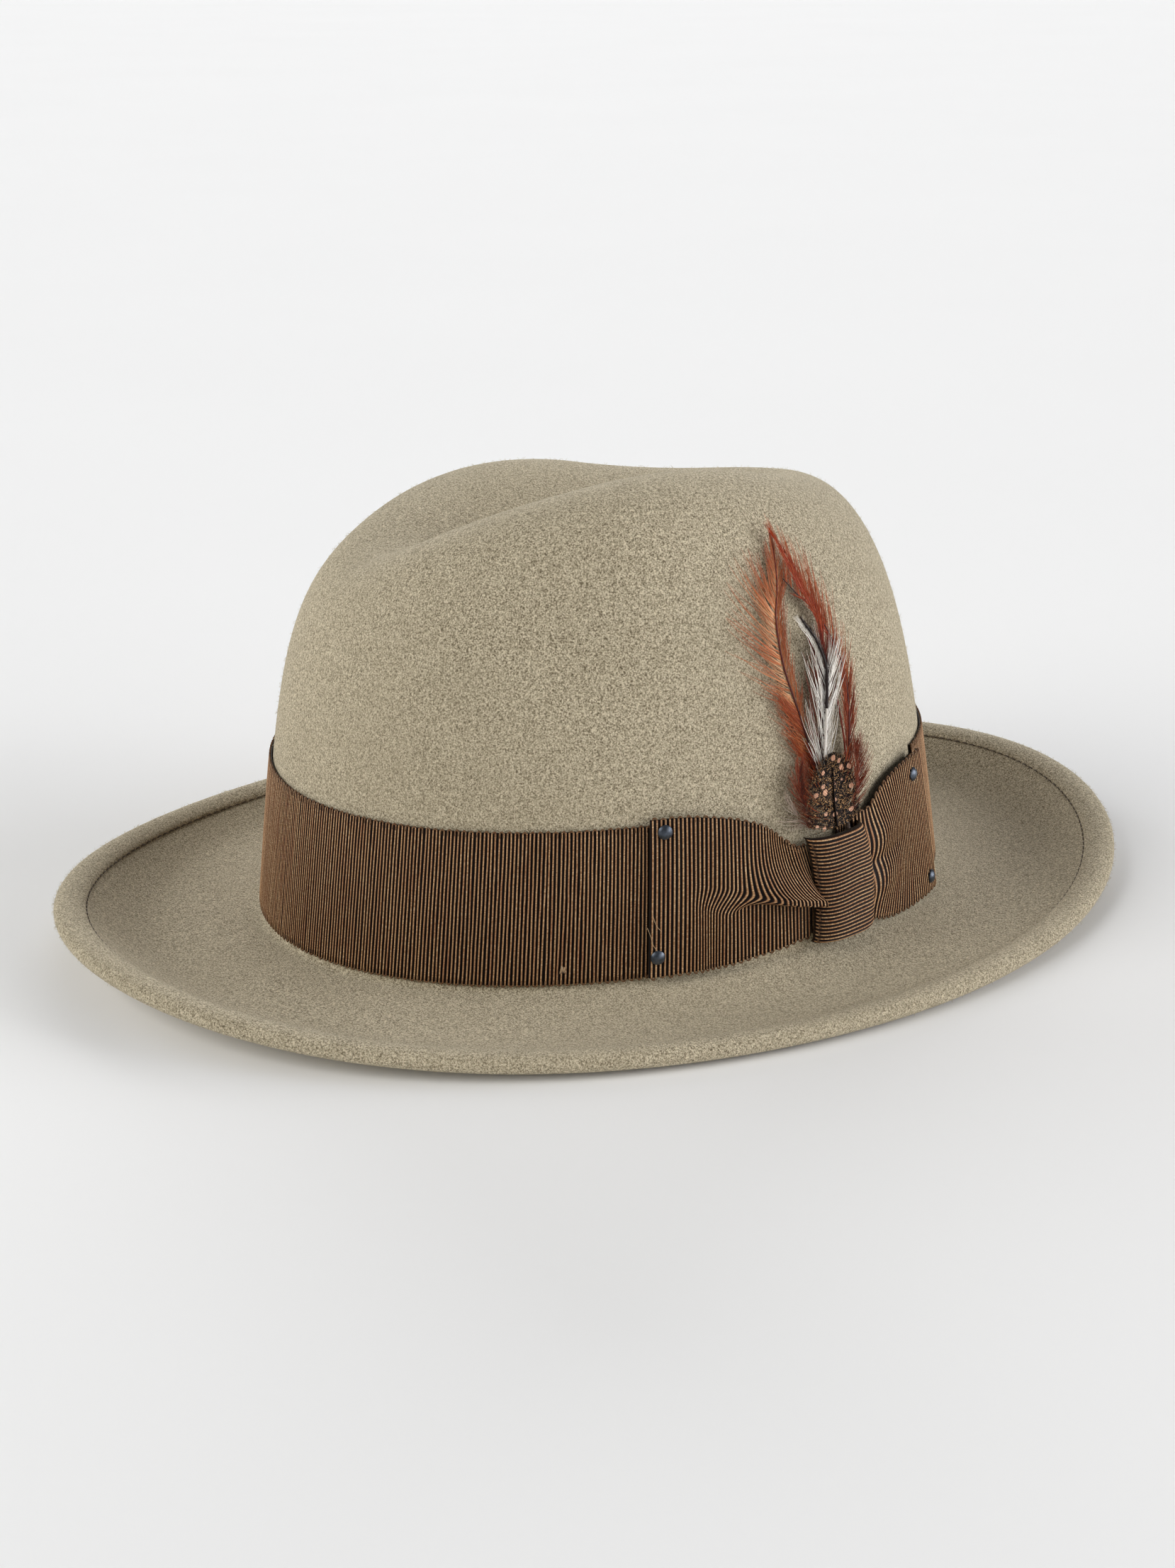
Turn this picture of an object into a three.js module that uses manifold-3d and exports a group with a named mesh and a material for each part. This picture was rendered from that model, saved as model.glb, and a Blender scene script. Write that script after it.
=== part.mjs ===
// Fedora hat with a grosgrain band, a flat side bow with four studs and a feather mount,
// leather sweatband and satin lining. Millimetres, +Z up, the front of the hat towards -Y and
// the bow on the wearer's left, +X. The origin is on the level that the brim rests on, below
// the middle of the crown. Angles run round the hat from the front towards the wearer's left.
import * as THREE from 'three';
import Module from 'manifold-3d';

const wasm = await Module();
wasm.setup();

// Felt and crown
const FELT = 2.3;                 // thickness of the felt
const CROWN_HALF_WIDTH = 87.6;    // outside of the felt at the brim break
const CROWN_HALF_LENGTH = 103.6;
const CROWN_HEIGHT = 129.4;       // from the brim break to the undented top
const CROWN_CORNER = 4.385;       // squareness of the crown's side profile
const CROWN_TAPER_SIDE = 0.069;   // share of its width that the crown loses towards the top
const CROWN_TAPER_LENGTH = 0.194; // share of its length that the crown loses towards the top
const CROWN_LEAN = -3.1;          // the top sits forward by this much
const CROWN_TILT = 0.085;         // the wearer's left ridge stands higher than the right
const CROWN_CURVE = -0.108;       // the ridge line falls towards front and back

// Centre crease along the top, and the pinch on each side of the front
const CREASE = { depth: 29.4, halfWidth: 36.5, flare: 0.13, shift: -5.7, shape: 1.655 };
const CREASE_FRONT = { y: -62.4, run: 41.8 };
const CREASE_BACK = { y: 45.9, run: 26.2 };
const PINCH = { depth: 6, y: -52, height: 88, spreadY: 27, spreadZ: 25, reach: 40 };

// Brim
const BRIM_HALF_WIDTH = 127.5;    // middle of the edge bead, sideways
const BRIM_HALF_LENGTH = 161.8;   // middle of the edge bead, front to back
const BEAD = 2.6;                 // half the thickness of the folded edge
const WELT = 6.4;                 // from the middle of the bead in to the welt's sewn edge
const BAND_BASE = 6.6;            // mean height of the brim break above the resting level
const BREAK_DROP = 1.5;           // the brim leaves the crown this much below the ribbon
const VALLEY = [0.5, 0.58];       // the level ring that the brim rests on, as shares of its width
const BRIM_CURL = 1.8;

// Hatband, bow and feathers, as heights above the brim break and offsets off the felt
const RIBBON_WIDTH = 43.9;
const RIBBON = 0.9;
const GAP = 0.3;
const BOW_START = 71.5;
const BOW_END = 132.8;
const KNOT_START = 99;
const KNOT_END = 112.5;
const KNOT_MIDDLE = (KNOT_START + KNOT_END) / 2;
const KNOT_HEIGHT = [1.5, 32.5];
const BOW_OFFSET = RIBBON + 2 * GAP + 0.05;
const BOW_THICKNESS = 1.5;
const BOW_LEAN = 3.4;             // the bow's rear edge runs this many degrees further down low
const STUD = { radius: 2, height: 1, shank: 0.5, hole: 0.85 };
const STUD_PLACES = [[73.75, 41.8], [72.75, 7], [126.8, 37.6], [131.4, 3.4]];

// Sweatband and lining, as offsets in from the inside of the felt
const LINING = 0.5;
const LINING_SLACK = 0.7;        // the lining hangs this far inside the felt
const LEATHER = 1.2;
const SWEATBAND_HEIGHT = 48;
const REED_RADIUS = 1.1;

const SEGMENTS = 48;
const DEGREE = Math.PI / 180;

// ---------- surfaces ----------

function smoothstep(low, high, value) {
  const s = Math.min(Math.max((value - low) / (high - low), 0), 1);
  return s * s * (3 - 2 * s);
}

// How far the brim break rises and falls round the hat: low in front, high at the sides.
function saddle(angle) {
  return -1.5 * Math.cos(angle) - Math.cos(2 * angle);
}

function creaseDepth(x, y, lift) {
  const along = y / CROWN_HALF_LENGTH;
  const front = smoothstep(CREASE_FRONT.y - CREASE_FRONT.run, CREASE_FRONT.y + CREASE_FRONT.run, y);
  const back = smoothstep(CREASE_BACK.y - CREASE_BACK.run, CREASE_BACK.y + CREASE_BACK.run, y);
  const across = Math.abs(x - CREASE.shift) / (CREASE.halfWidth * (1 + CREASE.flare * along));
  const section = Math.exp(-(across ** CREASE.shape));
  return CREASE.depth * section * front * (1 - back) * smoothstep(0.55, 0.95, lift);
}

function pinchDepth(x, y, z) {
  const along = (y - PINCH.y) / PINCH.spreadY;
  const up = (z - PINCH.height) / PINCH.spreadZ;
  return PINCH.depth * Math.exp(-along * along - up * up) * Math.tanh(x / PINCH.reach);
}

// Outside of the felt crown. rise is 0 at the brim break and PI / 2 in the middle of the top.
function crownPoint(angle, rise) {
  const c = Math.cos(rise);
  const s = Math.sin(rise);
  const r = (c ** CROWN_CORNER + s ** CROWN_CORNER) ** (-1 / CROWN_CORNER);
  const reach = r * c;
  const lift = r * s;
  const x = CROWN_HALF_WIDTH * reach * (1 - CROWN_TAPER_SIDE * lift * lift) * Math.sin(angle);
  const y = -CROWN_HALF_LENGTH * reach * (1 - CROWN_TAPER_LENGTH * lift) * Math.cos(angle)
    + CROWN_LEAN * lift;
  const along = y / CROWN_HALF_LENGTH;
  const across = x / CROWN_HALF_WIDTH;
  const bend = 1 + (CROWN_CURVE * along * along + CROWN_TILT * across) * lift * lift;
  const high = CROWN_HEIGHT * lift * bend - creaseDepth(x, y, lift);
  const foot = BAND_BASE + saddle(angle) * (1 - lift ** 3);
  return new THREE.Vector3(x - pinchDepth(x, y, high), y, foot + high);
}

function crownNormal(angle, rise) {
  const step = 0.01;
  const top = Math.PI / 2 - 2 * step;
  if (rise > top) {
    const lengthwise = crownPoint(Math.PI, top).sub(crownPoint(0, top));
    const sideways = crownPoint(Math.PI / 2, top).sub(crownPoint(-Math.PI / 2, top));
    return sideways.cross(lengthwise).normalize();
  }
  const round = crownPoint(angle + step, rise).sub(crownPoint(angle - step, rise));
  const up = crownPoint(angle, rise + step).sub(crownPoint(angle, Math.max(rise - step, 0)));
  return round.cross(up).normalize();
}

// A point at a distance off the felt's outside: positive outwards, negative inwards.
function crownShell(angle, rise, offset) {
  return crownPoint(angle, rise).addScaledVector(crownNormal(angle, rise), offset);
}

// The rise at which the crown's wall is at a height above the brim break.
function riseAt(angle, height) {
  const target = BAND_BASE + saddle(angle) + height;
  let low = 0;
  let high = 1.2;
  for (let i = 0; i < 24; i += 1) {
    const middle = (low + high) / 2;
    if (crownPoint(angle, middle).z < target) low = middle;
    else high = middle;
  }
  return (low + high) / 2;
}

// A point on the crown's wall from its height above the brim break and its offset off the felt.
function wall(angle, height, offset) {
  if (height < 0) return wall(angle, 0, offset).add(new THREE.Vector3(0, 0, height));
  return crownShell(angle, riseAt(angle, height), offset);
}

// Middle of the rounded bead along the brim's edge.
function beadPoint(angle) {
  const sweep = 1.1 + 0.3 * Math.cos(angle) + 4.1 * Math.cos(2 * angle);
  const z = sweep + 0.8 * (Math.cos(4 * angle) - Math.sin(angle));
  return new THREE.Vector3(BRIM_HALF_WIDTH * Math.sin(angle), -BRIM_HALF_LENGTH * Math.cos(angle),
    BAND_BASE + z);
}

function ovalOutward(angle, halfWidth, halfLength) {
  return new THREE.Vector3(Math.sin(angle) / halfWidth, -Math.cos(angle) / halfLength, 0).normalize();
}

// A point near the brim's edge: out is measured from the bead's middle, up from its height.
function edgePoint(angle, out, up) {
  const outward = ovalOutward(angle, BRIM_HALF_WIDTH, BRIM_HALF_LENGTH);
  const point = beadPoint(angle).addScaledVector(outward, out);
  point.z += up;
  return point;
}

// A point near the brim break: out and up are measured from the foot of the crown's outside.
function breakPoint(angle, out, up) {
  const outward = ovalOutward(angle, CROWN_HALF_WIDTH, CROWN_HALF_LENGTH);
  const point = crownPoint(angle, 0).addScaledVector(outward, out);
  point.z += up;
  return point;
}

// Upper face of the brim between the break (share 0) and the welt's sewn edge (share 1).
function brimTop(angle, share) {
  const inner = breakPoint(angle, 2.2, -BREAK_DROP);
  const outer = edgePoint(angle, -WELT, -0.2);
  const low = FELT;
  const point = inner.clone().lerp(outer, share);
  if (share < VALLEY[0]) {
    point.z = low + (inner.z - low) * ((VALLEY[0] - share) / VALLEY[0]) ** BRIM_CURL;
  } else if (share > VALLEY[1]) {
    point.z = low + (outer.z - low) * ((share - VALLEY[1]) / (1 - VALLEY[1])) ** BRIM_CURL;
  } else {
    point.z = low;
  }
  return point;
}

function brimUnder(angle, share) {
  const point = brimTop(angle, share);
  point.z -= FELT;
  return point;
}

// ---------- closed meshes from grids of points ----------

// Turns a list of points and triangles into a geometry whose faces point outwards.
function solid(points, triangles) {
  let volume = 0;
  for (const [a, b, c] of triangles) {
    volume += points[a].dot(new THREE.Vector3().crossVectors(points[b], points[c]));
  }
  const geometry = new THREE.BufferGeometry();
  geometry.setFromPoints(points);
  geometry.setIndex(triangles.flatMap(([a, b, c]) => (volume > 0 ? [a, b, c] : [a, c, b])));
  geometry.computeVertexNormals();
  return geometry;
}

function quad(a, b, c, d) {
  return [[a, b, c], [a, c, d]];
}

function joinRings(triangles, first, second, count) {
  for (let i = 0; i < count; i += 1) {
    const next = (i + 1) % count;
    triangles.push(...quad(first + i, first + next, second + next, second + i));
  }
}

function fan(triangles, pole, ring, count, flip) {
  for (let i = 0; i < count; i += 1) {
    const next = (i + 1) % count;
    triangles.push(flip ? [pole, ring + next, ring + i] : [pole, ring + i, ring + next]);
  }
}

// A ring round the hat: each row is a function of the angle, and the last row joins the first.
function ringBody(rows, count = SEGMENTS) {
  const points = rows.flatMap((row) => Array.from({ length: count },
    (_, i) => row((i / count) * 2 * Math.PI)));
  const triangles = [];
  rows.forEach((_, k) => joinRings(triangles, k * count, ((k + 1) % rows.length) * count, count));
  return solid(points, triangles);
}

// A cap over the hat: the rows run from a pole on its upper face round to a pole on its lower one.
function cappedBody(topPole, rows, bottomPole, count = SEGMENTS) {
  const points = rows.flatMap((row) => Array.from({ length: count },
    (_, i) => row((i / count) * 2 * Math.PI)));
  points.push(topPole, bottomPole);
  const triangles = [];
  for (let k = 0; k + 1 < rows.length; k += 1) {
    joinRings(triangles, k * count, (k + 1) * count, count);
  }
  fan(triangles, points.length - 2, 0, count, true);
  fan(triangles, points.length - 1, (rows.length - 1) * count, count, false);
  return solid(points, triangles);
}

// A thin slab between two faces: pointAt(u, v, side) with u and v from 0 to 1 and side 0 or 1.
function slab(stepsU, stepsV, pointAt) {
  const wide = stepsV + 1;
  const half = (stepsU + 1) * wide;
  const points = [];
  for (const side of [0, 1]) {
    for (let i = 0; i <= stepsU; i += 1) {
      for (let j = 0; j <= stepsV; j += 1) points.push(pointAt(i / stepsU, j / stepsV, side));
    }
  }
  const triangles = [];
  const border = [];
  for (let i = 0; i < stepsU; i += 1) {
    for (let j = 0; j < stepsV; j += 1) {
      const a = i * wide + j;
      triangles.push(...quad(a, a + wide, a + wide + 1, a + 1));
      triangles.push(...quad(half + a, half + a + 1, half + a + wide + 1, half + a + wide));
    }
  }
  for (let j = 0; j < stepsV; j += 1) border.push(j);
  for (let i = 0; i < stepsU; i += 1) border.push(i * wide + stepsV);
  for (let j = stepsV; j > 0; j -= 1) border.push(stepsU * wide + j);
  for (let i = stepsU; i > 0; i -= 1) border.push(i * wide);
  border.forEach((a, k) => {
    const b = border[(k + 1) % border.length];
    triangles.push(...quad(a, b, half + b, half + a));
  });
  return solid(points, triangles);
}

// Rows of a round section that follows a ring: centre(angle) gives its middle.
function roundRows(centre, radius, sides) {
  return Array.from({ length: sides }, (_, k) => (angle) => {
    const turn = (k / sides) * 2 * Math.PI;
    const outward = ovalOutward(angle, CROWN_HALF_WIDTH, CROWN_HALF_LENGTH);
    const point = centre(angle).addScaledVector(outward, radius * Math.cos(turn));
    point.z += radius * Math.sin(turn);
    return point;
  });
}

// ---------- boolean cuts ----------

function toManifold(geometry) {
  return new wasm.Manifold(new wasm.Mesh({
    numProp: 3,
    vertProperties: Float32Array.from(geometry.attributes.position.array),
    triVerts: Uint32Array.from(geometry.index.array),
  }));
}

function fromManifold(manifold) {
  const mesh = manifold.getMesh();
  const geometry = new THREE.BufferGeometry();
  geometry.setAttribute('position', new THREE.BufferAttribute(mesh.vertProperties, 3));
  geometry.setIndex(new THREE.BufferAttribute(mesh.triVerts, 1));
  geometry.computeVertexNormals();
  return geometry;
}

// ---------- felt ----------

const CROWN_RISES = [84, 78, 72, 66, 60, 55, 50, 45, 40, 35, 29, 23, 17, 11, 5.5, 0]
  .map((degrees) => degrees * DEGREE);

function feltGeometry() {
  const crownRows = (offset) => CROWN_RISES.map((rise) => (angle) => crownShell(angle, rise, offset));
  const breakOutside = [[0.4, -0.9], [2.2, -BREAK_DROP]];
  const breakInside = [[0.6, -3.3], [-1.5, -2.2], [-FELT, -0.5]];
  const bead = [70, 35, 0, -35, -70].map((degrees) => degrees * DEGREE);
  const weltSection = [[-WELT + 0.1, 0.9], [-WELT + 1.8, BEAD - 0.7]];
  return cappedBody(crownShell(0, Math.PI / 2, 0), [
    ...crownRows(0),
    ...breakOutside.map(([out, up]) => (angle) => breakPoint(angle, out, up)),
    ...[0.17, 0.34, VALLEY[0], VALLEY[1], 0.72, 0.86, 1].map((u) => (angle) => brimTop(angle, u)),
    ...weltSection.map(([out, up]) => (angle) => edgePoint(angle, out, up)),
    ...bead.map((turn) => (angle) => edgePoint(angle, BEAD * Math.cos(turn), BEAD * Math.sin(turn))),
    ...[1, 0.86, 0.72, VALLEY[1], VALLEY[0], 0.34, 0.17].map((u) => (angle) => brimUnder(angle, u)),
    ...breakInside.map(([out, up]) => (angle) => breakPoint(angle, out, up)),
    ...crownRows(-FELT).slice(0, -1).reverse(),
  ], crownShell(0, Math.PI / 2, -FELT));
}

function weltThreadGeometry() {
  return ringBody(roundRows((angle) => edgePoint(angle, -WELT - 0.75, 0.35), 0.3, 4));
}

// ---------- hatband and bow ----------

// The band's lower and upper edge: it is drawn together behind the bow, which hides its join.
function bandEdges(angle) {
  const degrees = angle / DEGREE;
  if (degrees < BOW_START || degrees > BOW_END) return [0.3, RIBBON_WIDTH];
  const [low, high] = bowEdges(degrees);
  return [Math.max(low - 0.2, 0.3), Math.min(high - 1.6, RIBBON_WIDTH)];
}

function hatbandGeometry() {
  const faces = [[GAP, [0, 0.35, 0.7, 1]], [GAP + RIBBON, [1, 0.7, 0.35, 0]]];
  const rows = faces.flatMap(([offset, shares]) => shares.map((share) => (angle) => {
    const [low, high] = bandEdges(angle);
    return wall(angle, low + (high - low) * share, offset);
  }));
  return ringBody(rows);
}

function tackGeometry(degrees, height) {
  const half = 0.9;
  return slab(4, 1, (u, v, side) => {
    const arch = Math.sin(u * Math.PI) * 0.35;
    const angle = degrees * DEGREE + (v - 0.5) * 0.006;
    return wall(angle, height + (2 * u - 1) * half, GAP * 2 + RIBBON + arch + side * 0.4);
  });
}

// The bow's lower and upper edge: full width at both ends, drawn together under the knot.
function bowEdges(degrees) {
  if (degrees < KNOT_MIDDLE) {
    const near = Math.min((degrees - BOW_START) / (KNOT_START - BOW_START), 1);
    return [1.2 + 1.8 * near ** 4, 45.2 - 15.2 * near ** 2.3];
  }
  const near = Math.min((BOW_END - degrees) / (BOW_END - KNOT_END), 1);
  return [2.5 * near ** 5 - 1, 43 - 8.5 * near ** 3];
}

function bowLift(degrees) {
  const loose = smoothstep(KNOT_END, BOW_END, degrees);
  return BOW_OFFSET + 1.6 * loose;
}

function bowGeometry() {
  const bow = slab(28, 6, (u, v, side) => {
    const degrees = BOW_START + (BOW_END - BOW_START) * u;
    const [low, high] = bowEdges(degrees);
    const lean = (0.5 - v) * BOW_LEAN * smoothstep(KNOT_END, BOW_END, degrees);
    const angle = (degrees + lean) * DEGREE;
    return wall(angle, low + (high - low) * v, bowLift(degrees) + side * BOW_THICKNESS);
  });
  return STUD_PLACES.reduce((body, [degrees, height]) => {
    const hole = new THREE.CylinderGeometry(STUD.hole, STUD.hole, 8, 12);
    return fromManifold(toManifold(body).subtract(toManifold(
      mergedByPosition(hole).applyMatrix4(studMatrix(degrees, height)))));
  }, bow);
}

// Drops the seams that a revolved shape has, so that every edge is shared by two faces.
function mergedByPosition(geometry) {
  const source = geometry.attributes.position;
  const points = [];
  const found = new Map();
  const map = Array.from({ length: source.count }, (_, i) => {
    const point = new THREE.Vector3().fromBufferAttribute(source, i);
    const key = point.toArray().map((value) => Math.round(value * 1e4)).join();
    if (!found.has(key)) found.set(key, points.push(point) - 1);
    return found.get(key);
  });
  const triangles = [];
  for (let i = 0; i < geometry.index.count; i += 3) {
    const corners = [0, 1, 2].map((k) => map[geometry.index.getX(i + k)]);
    if (new Set(corners).size === 3) triangles.push(corners);
  }
  return solid(points, triangles);
}

// A frame whose Y axis points off the hat at a place on the bow's face.
function studMatrix(degrees, height) {
  const angle = degrees * DEGREE;
  const face = bowLift(degrees) + BOW_THICKNESS;
  const outward = crownNormal(angle, riseAt(angle, height));
  const matrix = new THREE.Matrix4().makeRotationFromQuaternion(
    new THREE.Quaternion().setFromUnitVectors(new THREE.Vector3(0, 1, 0), outward));
  return matrix.setPosition(wall(angle, height, face));
}

function studGeometry(degrees, height) {
  const dome = [90, 62, 34, 8].map((turn) => new THREE.Vector2(
    STUD.radius * Math.cos(turn * DEGREE), GAP + STUD.height * Math.sin(turn * DEGREE)));
  dome[0].x = 0;
  const section = [
    new THREE.Vector2(0, -BOW_THICKNESS), new THREE.Vector2(STUD.shank, -BOW_THICKNESS),
    new THREE.Vector2(STUD.shank, GAP), new THREE.Vector2(STUD.radius, GAP), ...dome.reverse(),
  ];
  return mergedByPosition(new THREE.LatheGeometry(section, 12))
    .applyMatrix4(studMatrix(degrees, height));
}

// The knot stands off the bow in the middle, so the quills pass down behind it.
function knotGeometry() {
  const low = BOW_OFFSET + BOW_THICKNESS + GAP;
  return slab(8, 6, (u, v, side) => {
    const across = 2 * u - 1;
    const up = 2 * v - 1;
    const bulge = 3 * (1 - across * across) + side * 0.5 * (1 - up ** 4);
    const degrees = KNOT_START + (KNOT_END - KNOT_START) * u + 1.2 * (0.5 - v) * u;
    const height = KNOT_HEIGHT[0] + (KNOT_HEIGHT[1] - KNOT_HEIGHT[0]) * v;
    return wall(degrees * DEGREE, height, low + bulge + side);
  });
}

// ---------- feathers ----------

// Each spine is a list of places on the crown, [degrees, height], from the quill to the tip.
const FEATHERS = {
  orange_hackle: {
    offset: 1.6, thickness: 0.8, left: 10.5, right: 6, colour: 0xb4633c,
    spine: [[104, 35.5], [101.5, 50], [98, 66], [95.3, 82], [95.5, 95], [98.5, 112.5]],
  },
  red_hackle: {
    offset: 2.8, thickness: 0.8, left: 4, right: 6.5, colour: 0xa33a1c,
    spine: [[106.5, 35.5], [108.3, 55], [109.3, 70], [107.5, 85], [103.5, 97], [99.8, 110.5]],
  },
  striped_hackle: {
    offset: 4, thickness: 0.8, left: 5, right: 6, colour: 0xd8d2c4,
    spine: [[104, 36.5], [102.5, 50], [104, 68], [104.4, 77], [103.2, 86.5], [100, 94]],
  },
  guinea_feather: {
    offset: 5.3, thickness: 1, left: 8.5, right: 8.5, colour: 0x2a1d17,
    spine: [[104.5, 35.5], [104.3, 41], [103.8, 48], [103.3, 56]],
  },
};

function featherGeometry({ offset, thickness, left, right, spine }) {
  const curve = new THREE.CatmullRomCurve3(spine.map(([d, h]) => new THREE.Vector3(d, h, 0)));
  return slab(12, 2, (u, v, side) => {
    const place = curve.getPoint(u);
    const width = 0.12 + 0.88 * Math.sin(Math.PI * u ** 0.75) ** 0.8;
    const sideways = v < 0.5 ? -left : right;
    const millimetres = v === 0.5 ? 0 : sideways * width;
    const angle = (place.x + millimetres / 1.55) * DEGREE;
    return wall(angle, place.y, offset + side * thickness);
  });
}

// The quills end in a bound stem that slides down between the bow and its knot.
const STEM = { radius: 0.95, low: 9, high: 34.5 };
const STEM_OFFSET = BOW_OFFSET + BOW_THICKNESS + GAP + 0.4 + STEM.radius;

function stemGeometry() {
  const angle = (KNOT_MIDDLE + 0.2) * DEGREE;
  const foot = wall(angle, STEM.low, STEM_OFFSET);
  const along = wall(angle, STEM.high, STEM_OFFSET).sub(foot);
  const length = along.length();
  const section = [
    new THREE.Vector2(0, 0), new THREE.Vector2(0.5, 0), new THREE.Vector2(STEM.radius, 3),
    new THREE.Vector2(STEM.radius, length - 1), new THREE.Vector2(0.6, length),
    new THREE.Vector2(0, length),
  ];
  const turn = new THREE.Quaternion().setFromUnitVectors(new THREE.Vector3(0, 1, 0),
    along.divideScalar(length));
  return mergedByPosition(new THREE.LatheGeometry(section, 12)).applyQuaternion(turn)
    .translate(foot.x, foot.y, foot.z);
}

function downGeometry() {
  const places = [[97.5, 36.5], [95.6, 41], [94.4, 47], [94, 52]];
  const curve = new THREE.CatmullRomCurve3(places.map(([d, h]) => new THREE.Vector3(d, h, 0)));
  return slab(8, 1, (u, v, side) => {
    const place = curve.getPoint(u);
    const width = 0.6 + 3.4 * Math.sin(Math.PI * u);
    return wall((place.x + (v * width) / 1.55) * DEGREE, place.y, 5.3 + side);
  });
}

// ---------- inside ----------

const LINING_OUT = FELT + LINING_SLACK;
const LEATHER_OUT = LINING_OUT + LINING + GAP;
const LEATHER_IN = LEATHER_OUT + LEATHER;
const TIP_RISES = CROWN_RISES.filter((rise) => rise > 47 * DEGREE);
const SIDE_RISES = CROWN_RISES.filter((rise) => rise < 47 * DEGREE && rise > 10 * DEGREE);

function liningTipGeometry() {
  const rows = (offset) => TIP_RISES.map((rise) => (angle) => crownShell(angle, rise, -offset));
  return cappedBody(crownShell(0, Math.PI / 2, -LINING_OUT),
    [...rows(LINING_OUT), ...rows(LINING_OUT + LINING).reverse()],
    crownShell(0, Math.PI / 2, -LINING_OUT - LINING));
}

function liningSideGeometry() {
  const rows = (offset) => SIDE_RISES.map((rise) => (angle) => crownShell(angle, rise, -offset));
  return ringBody([...rows(LINING_OUT), ...rows(LINING_OUT + LINING).reverse()]);
}

function liningPipingGeometry() {
  const rise = 47.5 * DEGREE;
  return ringBody(roundRows((angle) => crownShell(angle, rise, -LEATHER_OUT - 0.9), 0.8, 6));
}

function sweatbandGeometry() {
  const heights = [2.6, 16, 32, SWEATBAND_HEIGHT];
  const rows = (offset) => heights.map((height) => (angle) => wall(angle, height, -offset));
  return ringBody([...rows(LEATHER_OUT), ...rows(LEATHER_IN).reverse()]);
}

function reedGeometry() {
  const middle = LINING_OUT + 0.2 + REED_RADIUS;
  return ringBody(roundRows((angle) => breakPoint(angle, -middle, 0.7), REED_RADIUS, 6));
}

function sweatbandThreadGeometry() {
  return ringBody(roundRows((angle) => wall(angle, 4.2, -LEATHER_IN - 0.6), 0.3, 4));
}

// A small ribbon bow closes the sweatband behind the head.
function rearBowGeometry() {
  return slab(12, 2, (u, v, side) => {
    const across = 2 * u - 1;
    const half = 1.6 + 2.6 * Math.abs(across) ** 0.7;
    const degrees = 180 + across * 8;
    return wall(degrees * DEGREE, 7.5 + half * (2 * v - 1), -LEATHER_IN - 1.25 - side * 0.9);
  });
}

function rearKnotGeometry() {
  return slab(4, 4, (u, v, side) => {
    const across = 2 * u - 1;
    const up = 2 * v - 1;
    const bulge = 0.5 * (1 - across * across) * (1 - up * up);
    const degrees = 180 + across * 1.2;
    return wall(degrees * DEGREE, 7.5 + 2.2 * up, -LEATHER_IN - 2.5 - side * (0.9 + bulge));
  });
}

function sizeTagGeometry() {
  return slab(4, 2, (u, v, side) => {
    const degrees = 196 + 8 * u;
    return wall(degrees * DEGREE, 36 + 18 * v, -LEATHER_IN - GAP - 0.1 - side * 0.5);
  });
}

// ---------- assembly ----------

const hat = new THREE.Group();
hat.name = 'fedora_hat';

function add(name, geometry, color, roughness, metalness = 0) {
  const mesh = new THREE.Mesh(geometry, new THREE.MeshStandardMaterial({ color, roughness, metalness }));
  mesh.name = name;
  hat.add(mesh);
}

const FELT_COLOUR = 0xb4a888;
const GROSGRAIN_COLOUR = 0x6a4a32;
const THREAD_COLOUR = 0x54483a;
const LEATHER_COLOUR = 0x7a4a2a;
const SATIN_COLOUR = 0x8c7a5c;

add('felt_body', feltGeometry(), FELT_COLOUR, 0.95);
add('brim_welt_thread', weltThreadGeometry(), THREAD_COLOUR, 0.8);
add('hatband', hatbandGeometry(), GROSGRAIN_COLOUR, 0.7);
[[58.5, 5.3], [160, 5.3], [225, 5.3], [301.5, 5.3]].forEach(([degrees, height], i) => {
  add(`hatband_tack_${i + 1}`, tackGeometry(degrees, height), GROSGRAIN_COLOUR, 0.7);
});
add('bow_ribbon', bowGeometry(), GROSGRAIN_COLOUR, 0.7);
add('bow_knot', knotGeometry(), GROSGRAIN_COLOUR, 0.7);
STUD_PLACES.forEach(([degrees, height], i) => {
  add(`bow_stud_${i + 1}`, studGeometry(degrees, height), 0x2e3238, 0.35, 0.9);
});
add('quill_stem', stemGeometry(), 0x3a2a1c, 0.6);
for (const [name, feather] of Object.entries(FEATHERS)) {
  add(name, featherGeometry(feather), feather.colour, 0.7);
}
add('down_tuft', downGeometry(), 0x8a4a2c, 0.9);
add('sweatband', sweatbandGeometry(), LEATHER_COLOUR, 0.5);
add('sweatband_reed', reedGeometry(), LEATHER_COLOUR, 0.5);
add('sweatband_thread', sweatbandThreadGeometry(), THREAD_COLOUR, 0.8);
add('sweatband_bow', rearBowGeometry(), GROSGRAIN_COLOUR, 0.6);
add('sweatband_bow_knot', rearKnotGeometry(), GROSGRAIN_COLOUR, 0.6);
add('lining_side', liningSideGeometry(), SATIN_COLOUR, 0.4);
add('lining_tip', liningTipGeometry(), SATIN_COLOUR, 0.4);
add('lining_piping', liningPipingGeometry(), SATIN_COLOUR, 0.4);
add('size_tag', sizeTagGeometry(), 0xe6e0d2, 0.8);

export default hat;
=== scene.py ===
# Looks for a felt fedora: fine surfaces, real ribs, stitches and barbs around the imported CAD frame.
# Sizes below are millimetres, in the CAD's frame: +Z up, the hat's front towards -Y, the bow on +X.
# Angles run round the hat from the front towards the wearer's left.
import math

import bpy
import numpy as np
from mathutils import Matrix, Vector


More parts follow.
